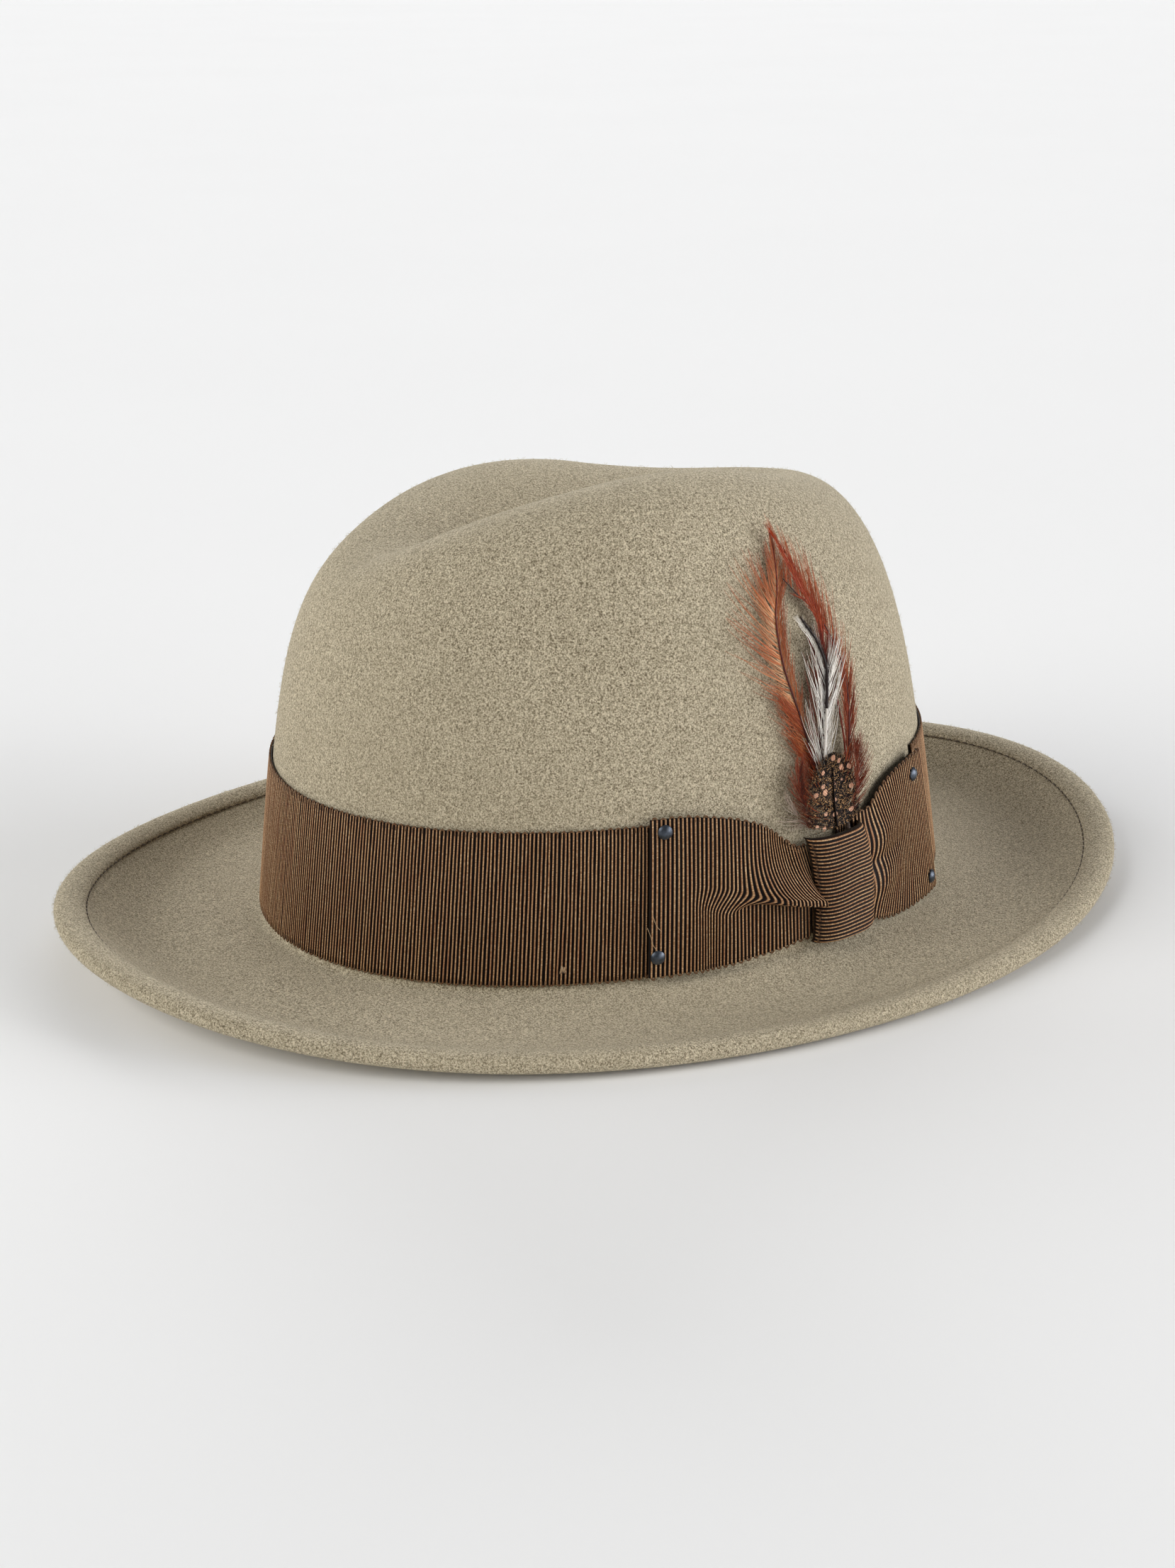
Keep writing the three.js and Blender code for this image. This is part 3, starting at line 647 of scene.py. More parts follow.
FELT_COLUMNS = 480
CROWN_RISES = np.concatenate([np.linspace(89.2, 30, 150), np.linspace(29.4, 0, 24)]) * DEGREE
# Sections as (out, up): the break's outside, the folded edge, the rounded bead and the break's inside
BREAK_OUTSIDE = ((0.25, -0.6), (0.9, -1.15), (2.2, -BREAK_DROP))
TUCK = ((-WELT + 0.5, -0.02), (-WELT + 0.22, 0.0), (-WELT + 0.02, 0.12), (-WELT, 0.5), (-WELT + 0.25, 0.95),
        (-WELT + 1.2, 1.55), (-WELT + 2.6, 2.12), (-WELT + 4.2, 2.5), (-1.2, 2.62))
BEAD_SECTION = [(BEAD * math.cos(turn), BEAD * math.sin(turn)) for turn in np.linspace(76, -90, 15) * DEGREE]
BREAK_INSIDE = ((1.6, -3.6), (0.3, -3.2), (-1.2, -2.4), (-2.1, -1.4))
NAP_FIBRES = 12000


def make_felt():
    """Rings from the middle of the top, over the brim's folded edge, to the middle of the inside."""
    angle = ring_angles(FELT_COLUMNS)
    rings = [crown_shell(angle, rise, 0.0) for rise in CROWN_RISES]
    rings += [break_point(angle, out, up) for out, up in BREAK_OUTSIDE]
    rings += [brim_top(angle, share) for share in np.linspace(0.02, 1, 64)]
    rings += [edge_point(angle, out, up) for out, up in (*TUCK, *BEAD_SECTION)]
    rings += [brim_under(angle, share) for share in np.linspace(1, 0.06, 40)]
    rings += [break_point(angle, out, up) for out, up in BREAK_INSIDE]
    rings += [crown_shell(angle, rise, -FELT) for rise in CROWN_RISES[::-1][::2]]
    poles = [crown_shell(0.0, math.pi / 2, offset) for offset in (0.0, -FELT)]
    piece = single("felt_crown_and_brim", *capped(np.stack(rings), poles))
    dress(piece, felt_material(), "felt", "felt_body")


def make_nap():
    """Short stray fibres that stand off the crown, the brim and the folded edge."""
    random = np.random.default_rng(21)
    angle = random.uniform(0, TURN, NAP_FIBRES)
    where = random.uniform(0, 1, NAP_FIBRES)
    on_crown, on_edge = (where < 0.5)[:, None], (where > 0.85)[:, None]
    share = np.clip((where - 0.5) / 0.35, 0.02, 0.99)
    turn = random.uniform(-0.5, 1.35, NAP_FIBRES)
    rise = np.arcsin(random.uniform(0, 1, NAP_FIBRES)) * 0.985
    root = np.where(on_crown, crown_shell(angle, rise, 0.0), brim_top(angle, share))
    root = np.where(on_edge, edge_point(angle, BEAD * np.cos(turn), BEAD * np.sin(turn)), root)
    outward = oval_outward(angle, BRIM_HALF_WIDTH, BRIM_HALF_LENGTH)
    off = np.where(on_crown, crown_normal(angle, rise), UP)
    off = np.where(on_edge, outward * np.cos(turn)[:, None] + UP * np.sin(turn)[:, None], off)
    flat = unit(np.cross(off, random.normal(size=(NAP_FIBRES, 3))))
    reach = random.uniform(0.5, 1.3, NAP_FIBRES)[:, None]
    lift = random.uniform(0.25, 0.75, NAP_FIBRES)[:, None]
    middle = root + flat * reach * 0.5 + off * lift * 0.75
    tip = middle + flat * reach * 0.45 + off * lift * random.uniform(-0.3, 0.6, (NAP_FIBRES, 1))
    paths = np.stack([root - off * 0.1, middle, tip], 1)
    radii = np.tile([0.045, 0.04, 0.012], (NAP_FIBRES, 1))
    dress(single("felt_nap", *tubes(paths, radii, 3)), nap_material(), "felt")


def running_length(line):
    return np.concatenate([[0], np.cumsum(np.linalg.norm(np.diff(line, axis=0), axis=1))])


def stitches(line_at, pitch, length, radius, dip, lean=0.0):
    """Short closed stitches round a ring: line_at(angle, out) gives the seam, out lifts or moves a stitch."""
    angle = np.linspace(0, TURN, 4001)
    run = running_length(line_at(angle, 0 * angle))
    count = int(run[-1] / pitch)
    share = np.linspace(0, 1, 7)
    at = (np.arange(count) * run[-1] / count)[:, None] + share[None] * length
    arch = np.sin(share * math.pi)[None]
    paths = line_at(np.interp(at, run, angle), np.broadcast_to(dip * arch, at.shape))
    paths[..., 2] += lean * (share - 0.5)[None]
    return tubes(paths, np.broadcast_to(radius * (0.7 + 0.3 * arch), at.shape), 6)


def make_welt_stitches(material):
    points = stitches(lambda a, out: edge_point(a, -WELT - 0.22, out - 0.02),
                      pitch=3.2, length=2.2, radius=0.2, dip=0.28)
    dress(single("brim_welt_stitches", *points), material, "thread", "brim_welt_thread")


# ---------- grosgrain ----------

def rib_profile(phase):
    """Height of a rib over one pitch: 0 in the groove, 1 on the crest."""
    across = np.abs(2 * (phase % 1) - 1)
    return np.sqrt(np.maximum(1 - (across / RIB_WIDTH) ** 2.4, 0))


def rib_facts(phase, length, crest):
    """What the ribbon's material reads: rib, and run as (a place that jumps at each rib, millimetres up)."""
    along = np.floor(phase) * RIB_JUMP + phase
    along, length, crest = np.broadcast_arrays(along, length, crest)
    return {"rib": crest.ravel(), "run": np.stack([along, length, 0 * length], -1).reshape(-1, 3)}


def both_faces(facts):
    """Facts for a slab: its inner face has no ribs."""
    return {"rib": np.concatenate([0 * facts["rib"], facts["rib"]]),
            "run": np.concatenate([facts["run"], facts["run"]])}


def make_selvedge(name, material, locate, ribs, seed, sides=(1.0, 0.0)):
    """Loops that join each pair of ribs at a ribbon's edges: locate(side, rib, rise) gives their place."""
    share = np.linspace(0, 1, 9)
    first = np.arange(0, ribs - 1, 2)[:, None] + 0.5
    across = first + (1 - np.cos(share * math.pi))[None] / 2
    rise = np.where((share == 0) | (share == 1), -0.9, np.sin(share * math.pi) * 0.7)[None]
    facts = rib_facts(np.repeat(across.ravel(), 6), np.repeat(rise + 0 * across, 6), 0.85)
    heap = Heap()
    for side in sides:
        random = np.random.default_rng(seed)
        paths = locate(side, across, rise + random.normal(0, 0.07, (len(first), 1)))
        heap.add(*tubes(paths, np.full(across.shape, LOOP_RADIUS)), **facts)
    dress(heap.build(name), material, "grosgrain")


def bow_edges(degrees):
    """The bow's lower and upper edge: full width at both ends, drawn together under the knot."""
    front = np.clip((degrees - BOW_START) / (KNOT_START - BOW_START), 0, 1)
    rear = np.clip((BOW_END - degrees) / (BOW_END - KNOT_END), 0, 1)
    before = degrees < KNOT_MIDDLE
    return (np.where(before, 1.2 + 1.8 * front ** 4, 2.5 * rear ** 5 - 1),
            np.where(before, 45.2 - 15.2 * front ** 2.3, 43 - 8.5 * rear ** 3))


def band_height(angle, share):
    """Height up the hatband, which is drawn together behind the bow so that it stays out of sight."""
    degrees = np.asarray(angle) / DEGREE
    low, high = bow_edges(degrees)
    behind = (degrees >= BOW_START) & (degrees <= BOW_END)
    low = np.where(behind, np.maximum(low - 0.2, 0.3), 0.3)
    high = np.where(behind, np.minimum(high - 1.6, RIBBON_WIDTH), RIBBON_WIDTH)
    return low + 0.6 + (high - low - 1.3) * share


def make_hatband(material):
    """The ribbed ribbon round the crown, whose ribs waver a little on their way up."""
    angle = np.linspace(0, TURN, 4000)
    run = running_length(wall(angle, RIBBON_WIDTH / 2, GAP + RIBBON))
    ribs = 2 * int(run[-1] / RIB_PITCH / 2)
    phase = np.arange(ribs * RIB_SAMPLES) / RIB_SAMPLES
    a = np.interp(phase / ribs * run[-1], run, angle)
    crest = rib_profile(phase)
    height = band_height(a[None], np.linspace(0, 1, 22)[:, None])
    below = height[::-7]
    random = np.random.default_rng(3)
    wobble = np.cumsum(random.normal(0, 0.024, (len(height), ribs)), 0)
    shift = np.repeat(np.clip(wobble - wobble.mean(0), -0.12, 0.12), RIB_SAMPLES, 1) * TURN / run[-1]
    relief = RIB_RELIEF * crest * np.repeat(random.uniform(0.86, 1.0, ribs), RIB_SAMPLES)
    outer = wall(a[None] + shift, height, GAP + 0.45 + relief[None])
    rows = np.concatenate([outer, wall(a[None], below, GAP)])
    crests = np.concatenate([np.tile(crest, (len(height), 1)), 0 * below])
    facts = rib_facts(phase[None], np.concatenate([height, below]), crests)
    piece = single("hatband_ribbon", rows, grid_faces(len(rows), len(a), True, True), **facts)
    dress(piece, material, "grosgrain", "hatband")

    def locate(side, rib, rise):
        at = np.interp(rib / ribs * run[-1], run, angle)
        return wall(at, band_height(at, side) + (2 * side - 1) * (rise - 0.4), GAP + 0.66)

    make_selvedge("hatband_selvedge", material, locate, ribs, 11)


def make_tacks(material):
    """Small thread knots that hold the band to the crown."""
    heap = Heap()
    random = np.random.default_rng(5)
    share = np.linspace(0, 1, 9)
    for degrees, height in TACK_PLACES:
        for k in range(4):
            lean = random.uniform(-0.5, 0.5)
            x = (k - 1.5) * 0.3 + lean * (share - 0.5) + degrees * ROUND
            y = height + (share - 0.5) * random.uniform(1.3, 2.4)
            off = GAP + RIBBON + 0.15 + 0.35 * np.sin(share * math.pi)
            heap.add(*tubes(wall(x / ROUND * DEGREE, y, off)[None], np.full((1, 9), 0.17)))
    nodes = [f"hatband_tack_{i + 1}" for i in range(len(TACK_PLACES))]
    dress(heap.build("hatband_tacks"), material, "grosgrain_thread", *nodes)


# ---------- bow ----------

# The pleat on the front wing: where it starts, how it falls towards the knot and where it grows and tucks in
FOLD_START, FOLD_HEIGHT, FOLD_FALL = 87.5, 19.75, 0.51
FOLD_GROWS, FOLD_LIFT, FOLD_WIDTH, FOLD_OVERHANG = (85.5, 91.5), 4.0, 6.5, 2.0
TUCKS_IN = (98, 101.5)
FRONT_RIBS, REAR_RIBS, KNOT_RIBS = 44, 34, 29


def front_wing(u, v):
    """Degrees, height and offset of the bow's front half: u runs from its free end to the knot, v up."""
    degrees = BOW_START + (KNOT_START + 2.5 - BOW_START) * u
    low, high = bow_edges(degrees)
    height = low + (high - low) * v
    fold = FOLD_HEIGHT - FOLD_FALL * (degrees - FOLD_START)
    grown = smoothstep(*FOLD_GROWS, degrees)
    blur = 4.5 * (1 - grown) + 0.55
    over = smoothstep(fold - blur, fold + blur * 0.4, height)
    roll = np.exp(-(np.maximum(height - fold, 0) / FOLD_WIDTH) ** 2)
    tuck = smoothstep(*TUCKS_IN, degrees)
    lift = grown * (FOLD_LIFT * over * roll - 0.7 * (1 - over)) * (1 - 0.85 * tuck)
    sag = 0.16 * np.sin(degrees * 0.8 + height * 0.13)
    offset = BOW_FACE + lift + sag * smoothstep(73, 80, degrees) * (1 - tuck) - 0.95 * tuck
    hang = np.exp(-(np.maximum(height - fold, 0) / 3) ** 2)
    height = height - FOLD_OVERHANG * grown * over * hang * (1 - tuck)
    shift = -2.4 * smoothstep(77, 87, degrees) * (1 - over)
    shift = shift + 2.0 * grown * over * np.exp(-np.maximum(height - fold, 0) / 3.5) * (1 - tuck)
    shift = shift - 2.8 * smoothstep(88, 100, degrees) * np.clip((height - fold) / 17, 0, 1)
    return degrees + shift, height, offset


def rear_wing(u, v):
    """The rear half: u runs from under the knot to its free end. Its ribs arch round the knot's waist."""
    degrees = WRAP_END - 2 + (BOW_END - WRAP_END + 2) * u
    low, high = bow_edges(np.maximum(degrees, KNOT_MIDDLE))
    height = low + (high - low) * v
    waist = 17 + 0.4 * (degrees - WRAP_END)
    close = 1 - smoothstep(WRAP_END, WRAP_END + 13, degrees)
    valley = np.exp(-((height - waist) / 2.2) ** 2)
    puff = np.exp(-((np.abs(height - waist) - 7) / 5) ** 2)
    free = smoothstep(WRAP_END, BOW_END, degrees)
    tuck = 1 - smoothstep(WRAP_END - 2, WRAP_END + 0.5, degrees)
    gathers = close * (1.3 * puff - 0.7 * valley) * (1 - 0.7 * tuck)
    offset = BOW_FACE + REAR_LIFT * free + gathers - 0.7 * tuck
    top = WRAP_END + 3.5
    arch = smoothstep(WRAP_END - 0.5, top, degrees) * (1 - smoothstep(top, BOW_END - 5, degrees))
    shift = 2.4 * arch * (1 - ((height - waist) / 19) ** 2) + (0.5 - v) * BOW_LEAN * free
    return degrees + shift, height, offset


def make_wing(name, shape, ribs, material, cut):
    """A ribbed half of the bow with its looped edges and the folded-under end."""
    phase = np.arange(ribs * RIB_SAMPLES + 1) / RIB_SAMPLES
    u, v = np.meshgrid(phase / ribs, np.linspace(0, 1, 76))
    degrees, height, offset = shape(u, v)
    end = np.exp(-np.abs(u - cut) * ribs / 0.8)
    crest = rib_profile(phase)[None]
    relief = (BOW_RELIEF * crest - 0.25) * (1 - 0.5 * end) + 0.2 * end
    outer = wall(degrees * DEGREE, height, offset + relief)
    inner = wall(degrees * DEGREE, height, np.maximum(offset - 0.75 - 0.6 * end, BOW_OFFSET))
    facts = both_faces(rib_facts(phase[None], height, crest))
    piece = single(name, *slab(inner, outer), **facts)
    dress(piece, material, "grosgrain", "bow_ribbon")

    def locate(side, rib, rise):
        degrees, height, offset = shape(rib / ribs, side)
        return wall(degrees * DEGREE, height + (2 * side - 1) * (rise - 0.25), offset - 0.05)

    make_selvedge(name + "_selvedge", material, locate, ribs, 13)


def knot_face(u, v):
    """Degrees, height and offset of the knot: u runs across it from left to right, v up."""
    across = 2 * u - 1
    right = WRAP_END + 0.5 * (0.5 - v) + 0.9 * np.sin(v * math.pi) - 0.9 * v ** 3
    left = KNOT_START + 0.5 * np.sin(v * math.pi) - 0.9 * v ** 3
    degrees = left + (right - left) * u
    low, high = KNOT_HEIGHT
    height = low + (high - low) * v + 0.45 * np.sin(across * 3.2 + 1.0) * np.sin(v * math.pi)
    ends = np.clip((np.abs(2 * v - 1) - 0.9) / 0.1, 0, 1)
    offset = 3.1 + 4.25 * np.sqrt(np.maximum(1 - np.abs(across) ** 2.6, 0)) - 0.8 * ends ** 2
    return degrees, height, offset


def make_knot(material):
    """The ribbon loop round the bow's waist: its ribs lie level, and its edges turn in."""
    phase = np.arange(KNOT_RIBS * RIB_SAMPLES + 1) / RIB_SAMPLES
    crest = rib_profile(phase)[:, None]
    u, v = np.meshgrid((1 - np.cos(np.linspace(0, math.pi, 48))) / 2, phase / KNOT_RIBS)
    degrees, height, offset = knot_face(u, v)
    outer = wall(degrees * DEGREE, height, offset + BOW_RELIEF * crest)
    inner = wall(degrees * DEGREE, height, offset - 0.75)
    across = u * (WRAP_END - KNOT_START) * ROUND
    facts = both_faces(rib_facts(phase[:, None], across, crest + 0 * u))
    piece = single("bow_knot_wrap", *slab(inner, outer), **facts)
    dress(piece, material, "grosgrain", "bow_knot")

    def locate(side, rib, rise):
        inward = 0.02 - 0.012 * rise
        degrees, height, offset = knot_face(np.abs(side - inward), rib / KNOT_RIBS)
        return wall(degrees * DEGREE, height, offset + 0.3)

    make_selvedge("bow_knot_selvedge", material, locate, KNOT_RIBS, 17, (0.0, 1.0))


STUD_SECTION = ((0, -0.9), (0.5, -0.9), (0.55, -0.15), (1.75, -0.12), (1.98, 0.0), (2.05, 0.16), (2.0, 0.32),
                (1.86, 0.47), (1.6, 0.72), (1.25, 0.95), (0.85, 1.12), (0.42, 1.22), (0, 1.25))


def make_studs(material):
    """A low dome at each corner of the bow, square to the ribbon there."""
    for i, (degrees, height) in enumerate(STUD_PLACES):
        face = BOW_OFFSET + 1.22 + REAR_LIFT * float(smoothstep(KNOT_END, BOW_END, degrees))
        place = wall_frame(degrees, height, face)
        piece = single(f"bow_stud_{i + 1}_dome", *lathe(STUD_SECTION, 32, *place))
        dress(piece, material, "gunmetal", f"bow_stud_{i + 1}")


def make_stray_threads(material):
    """Two pale hairs of yarn that have worked loose beside the bow's front end."""
    share = np.linspace(0, 1, 12)
    heap = Heap()
    for route in (((73.2, 14.5), (72.5, 16), (72.0, 18), (71.7, 20.5)),
                  ((72.6, 9), (71.9, 11), (71.5, 13.5), (71.0, 16))):
        line = spline(route, share)
        paths = wall(line[:, 0] * DEGREE, line[:, 1], BOW_OFFSET + 1.6 + 0.5 * np.sin(share * math.pi))
        heap.add(*tubes(paths[None], np.full((1, 12), 0.07)))
    dress(heap.build("bow_stray_threads"), material, "grosgrain_thread")


# ---------- feathers ----------

def flat_spine(spine):
    return np.array(spine, float) * (ROUND, 1)


def barb_paths(random, spine, side, start, length, lean, bend, offset, rise, steps=12):
    """Barbs that leave a shaft on one side (1 right, -1 left) and bend towards its tip.

    start is each root's share of the shaft; lean and bend are degrees; rise lifts the tips off."""
    root = spline(spine, start)
    way = spline(spine, np.minimum(start + 0.01, 1)) - spline(spine, np.maximum(start - 0.01, 0))
    share = np.linspace(0, 1, steps)[None]
    size = (len(start), 1)
    wave = 5 * np.sin(share * random.uniform(2, 7, size) + random.uniform(0, 6, size))
    bent = side * (lean[:, None] - bend[:, None] * share) * DEGREE
    turn = np.arctan2(way[:, 1], way[:, 0])[:, None] - bent + wave * DEGREE
    step = np.stack([np.cos(turn), np.sin(turn)], -1) * (length / (steps - 1))[:, None, None]
    flat = root[:, None] + np.cumsum(step, 1) - step[:, :1]
    off = offset + rise[:, None] * share ** 1.5
    return wall(flat[..., 0] / ROUND * DEGREE, flat[..., 1], off), flat, share


def over_part(values, part):
    """A curve given as values at even steps, read at parts of its length."""
    return np.interp(part, np.linspace(0, 1, len(values)), values)


def add_barbs(heap, random, spine, side, count, reach, length, lean, bend, offset, colours, radius, rise=0.5,
              spread=0.15, rust=None):
    """A row of barbs; reach is their part of the shaft, and length, lean are curves over that part."""
    part = np.sort(random.uniform(0, 1, count))
    start = reach[0] + (reach[1] - reach[0]) * part
    long = over_part(length, part) * random.uniform(1 - 2 * spread, 1 + spread, count)
    angle = over_part(lean, part) + random.normal(0, 3.5, count)
    curl = bend + random.normal(0, 4, count)
    up = rise * random.uniform(0.2, 1.3, count)
    paths, flat, share = barb_paths(random, flat_spine(spine), side, start, long, angle, curl, offset, up)
    taper = np.broadcast_to(radius * (1 - 0.75 * share ** 1.4), paths.shape[:2])
    points, quads, caps = tubes(paths, taper, 3)
    pick = random.uniform(0, 1, (count, 1))
    root, tip = (srgb(*a)[:3] + (np.array(srgb(*b)[:3]) - srgb(*a)[:3]) * pick for a, b in colours)
    tint = root[:, None] + (tip - root)[:, None] * share[..., None]
    tint = tint * random.uniform(0.75, 1.2, (count, 1, 1))
    facts = {"tint": np.repeat(tint.reshape(-1, 3), 3, 0)}
    if rust is not None:
        facts["rust"] = np.full(len(points), rust)
        facts["flat"] = np.repeat(np.concatenate([flat, 0 * flat[..., :1]], -1).reshape(-1, 3), 3, 0)
    heap.add(points, quads, caps, **facts)


def add_shaft(heap, spine, reach, offset, radii, colour, rust=None):
    """A feather's shaft: a tapering quill along its spine."""
    share = np.linspace(0, 1, 40)
    flat = spline(flat_spine(spine), reach[0] + (reach[1] - reach[0]) * share)
    paths = wall(flat[:, 0] / ROUND * DEGREE, flat[:, 1], offset)[None]
    points, quads, caps = tubes(paths, (radii[0] + (radii[1] - radii[0]) * share)[None], 8)
    root, tip = (np.array(srgb(*c)[:3]) for c in colour)
    facts = {"tint": np.repeat(root + (tip - root) * share[:, None], 8, 0)}
    if rust is not None:
        facts["rust"] = np.full(len(points), rust)
        facts["flat"] = np.zeros((len(points), 3))
    heap.add(points, quads, caps, **facts)


def on_sides(sides, *rows):
    """The same rows of barbs on each side in turn: 1 is right of the shaft and -1 left."""
    return [(spine, side, *row) for side in sides for spine, *row in rows]


RUST, EMBER, PEACH = (206, 110, 56), (164, 58, 22), (228, 170, 120)
WINE, CREAM, SOOT = (84, 26, 18), (250, 246, 238), (30, 17, 15)

# A row's two pairs of colours are the ranges for the barbs' roots and for their tips
LOOSE = ((PEACH, RUST), (RUST, EMBER))
FILM = (((224, 180, 138), (232, 194, 152)), ((216, 150, 100), (212, 128, 74)))
UPRIGHT = ((RUST, PEACH), (RUST, EMBER))
FOOT = (((110, 38, 24), RUST), (EMBER, RUST))
DEEP = (((150, 34, 12), (196, 66, 22)), ((178, 56, 20), (206, 104, 52)))
WHITE, BLACK = ((CREAM, CREAM), ((226, 214, 196), CREAM)), ((SOOT, SOOT), (SOOT, (70, 40, 30)))
UNDER = (((60, 20, 14), WINE), (EMBER, (132, 44, 24)))
DARK_RUST = ((WINE, RUST), (RUST, EMBER))
PALE = (((222, 206, 190), (196, 172, 154)), ((228, 214, 200), (184, 150, 130)))
RUSTY = (((96, 32, 20), (150, 62, 34)), ((140, 56, 32), (190, 104, 68)))

# Long loose orange barbs left of an S-shaped shaft, upright ones to its right, darker ones below
ORANGE = (
    [(ORANGE_SPINE, (0, 1), ORANGE_OFFSET + 0.3, (0.36, 0.12), (SOOT, (120, 44, 34)))],
    [(ORANGE_SPINE, -1, 130, (0.2, 0.97), (9, 13, 18, 17, 9, 3), (38, 46, 52, 52, 38, 18), 14, 1.7, LOOSE,
      0.12, 1.2, 0.22),
     (ORANGE_SPINE, -1, 280, (0.22, 0.95), (5, 7, 9.5, 9, 6, 2.5), (36, 42, 44, 40, 30, 16), 14, 1.6, FILM,
      0.095, 0.3),
     (ORANGE_SPINE, 1, 190, (0.3, 0.97), (8, 12, 13, 11, 9, 3), (20, 24, 24, 24, 20, 10), 10, 1.7, UPRIGHT,
      0.105, 0.7, 0.18),
     (ORANGE_SPINE, -1, 230, (0.0, 0.36), (5, 10, 13, 10), (20, 32, 36, 34), 12, 1.8, FOOT, 0.105, 0.8, 0.2)])

# A narrow bright red plume with upright barbs, and a darker one that bows out to the right
RED = (
    [(RED_SPINE, (0, 1), RED_OFFSET + 0.3, (0.32, 0.1), (WINE, EMBER)),
     (BOWED_SPINE, (0, 1), RED_OFFSET + 0.1, (0.3, 0.12), (WINE, SOOT))],
    [*on_sides((-1, 1), (RED_SPINE, 130, (0.5, 1.0), (8, 9, 10, 8, 4), (6, 7, 8, 8, 6), 3, RED_OFFSET + 0.2,
                         DEEP, 0.12)),
     (RED_SPINE, 1, 60, (0.62, 1.0), (10, 12, 12, 9, 5), (16, 22, 26, 24, 18), 4, RED_OFFSET + 0.1,
      ((EMBER, RUST), (RUST, (206, 118, 72))), 0.09, 0.8, 0.26),
     (BOWED_SPINE, 1, 120, (0.26, 0.97), (8, 12, 14, 14, 12, 8), (15, 18, 28, 42, 52, 48), 4, RED_OFFSET,
      ((EMBER, RUST), (RUST, (206, 112, 66))), 0.1, 0.9, 0.28),
     (BOWED_SPINE, -1, 90, (0.2, 0.8), (6, 8, 8, 5), (12, 14, 14, 12), 6, RED_OFFSET, DEEP, 0.105),
     *on_sides((-1, 1), (BOWED_SPINE, 120, (0.0, 0.34), (6, 9, 11), (16, 20, 18), 8, RED_OFFSET,
                         ((WINE, (140, 50, 30)), (EMBER, RUST)), 0.11, 0.7))])


def striped_rows(side, end, long, lean, dark, count):
    """One side of the striped feather: white barbs, finer ones, the black centre, the red underneath."""
    at = STRIPED_OFFSET
    rows = ((count, (0.02, end), long, lean, 6, at, WHITE, 0.17, 0.5, 0.12),
            (30, (0.02, end), long, lean, 9, at - 0.1, WHITE, 0.09, 0.8, 0.16),
            (140, (0.34, 1.0), dark, (8, 9, 10, 8), 3, at + 0.45, BLACK, 0.105, 0.3),
            (150, (0.0, 0.7), (10, 14, 14, 10), (14, 20, 22, 18), 6, at - 0.8, UNDER, 0.13, 0.3))
    return [(STRIPED_SPINE, side, *row) for row in rows]


# A black-centred white feather: its shaft is pale below, and its tip bends to the left
STRIPED = (
    [(STRIPED_SPINE, (0, 0.42), STRIPED_OFFSET + 0.75, (0.42, 0.3), (CREAM, (216, 208, 198))),
     (STRIPED_SPINE, (0.4, 1), STRIPED_OFFSET + 0.75, (0.42, 0.14), (SOOT, SOOT))],
    [*striped_rows(-1, 1.0, (17, 21, 19, 14, 11, 8, 3), (3, 11, 23, 24, 20, 16, 8), (3, 3, 2.5, 1.5), 64),
     *striped_rows(1, 0.62, (14, 18, 18, 16, 13), (20, 25, 25, 24, 22), (4, 5, 4, 2), 46)])

# The vane's barbs carry its pattern (rust 0) and the stray ones their own colour (rust 1)
GUINEA = (
    [(GUINEA_SPINE, (0, 0.95), GUINEA_OFFSET + 0.8, (0.3, 0.14), (SOOT, (70, 52, 44)), 0.0)],
    on_sides((-1, 1),
             (GUINEA_SPINE, 190, (-0.02, 1.0), (8.8, 10, 10.4, 8.6, 3), (88, 66, 52, 42, 14), 20,
              GUINEA_OFFSET + 0.45, DARK_RUST, 0.18, 0.35, 0.03, 0.0),
             (GUINEA_SPINE, 45, (0.0, 0.7), (10, 12, 12), (70, 50, 40), 20,
              GUINEA_OFFSET, DARK_RUST, 0.09, 0.7, 0.15, 1.0)))

# Rust fluff on both sides of the mount's foot, and pale wisps at its outer edges
FLUFF = (150, (0.0, 1.0), (5, 7, 7, 4.5), (40, 34, 28, 20), 16, 3.4, RUSTY, 0.08, 1.4, 0.3)
DOWN = (
    [],
    [*on_sides((1, -1), (TUFT_SPINE, *FLUFF)),
     *on_sides((1, -1), (TUFT_RIGHT, *FLUFF)),
     (TUFT_FOOT, -1, 60, (0.0, 1.0), (4, 7, 8, 5), (44, 40, 36, 24), 30, 2.6, PALE, 0.07, 1.6, 0.35),
     (TUFT_RIGHT, 1, 30, (0.2, 1.0), (5, 7, 6), (30, 26, 22), -16, 3.4, PALE, 0.06, 1.2, 0.3)])


def make_feather(name, slot, node, material, seed, shafts, rows):
    """Builds one feather from its shafts and its rows of barbs, which draw from one seed in their order."""
    random = np.random.default_rng(seed)
    heap = Heap()
    for shaft in shafts:
        add_shaft(heap, *shaft)
    for row in rows:
        add_barbs(heap, random, *row)
    dress(heap.build(name), material, slot, node, body="feather_mount")


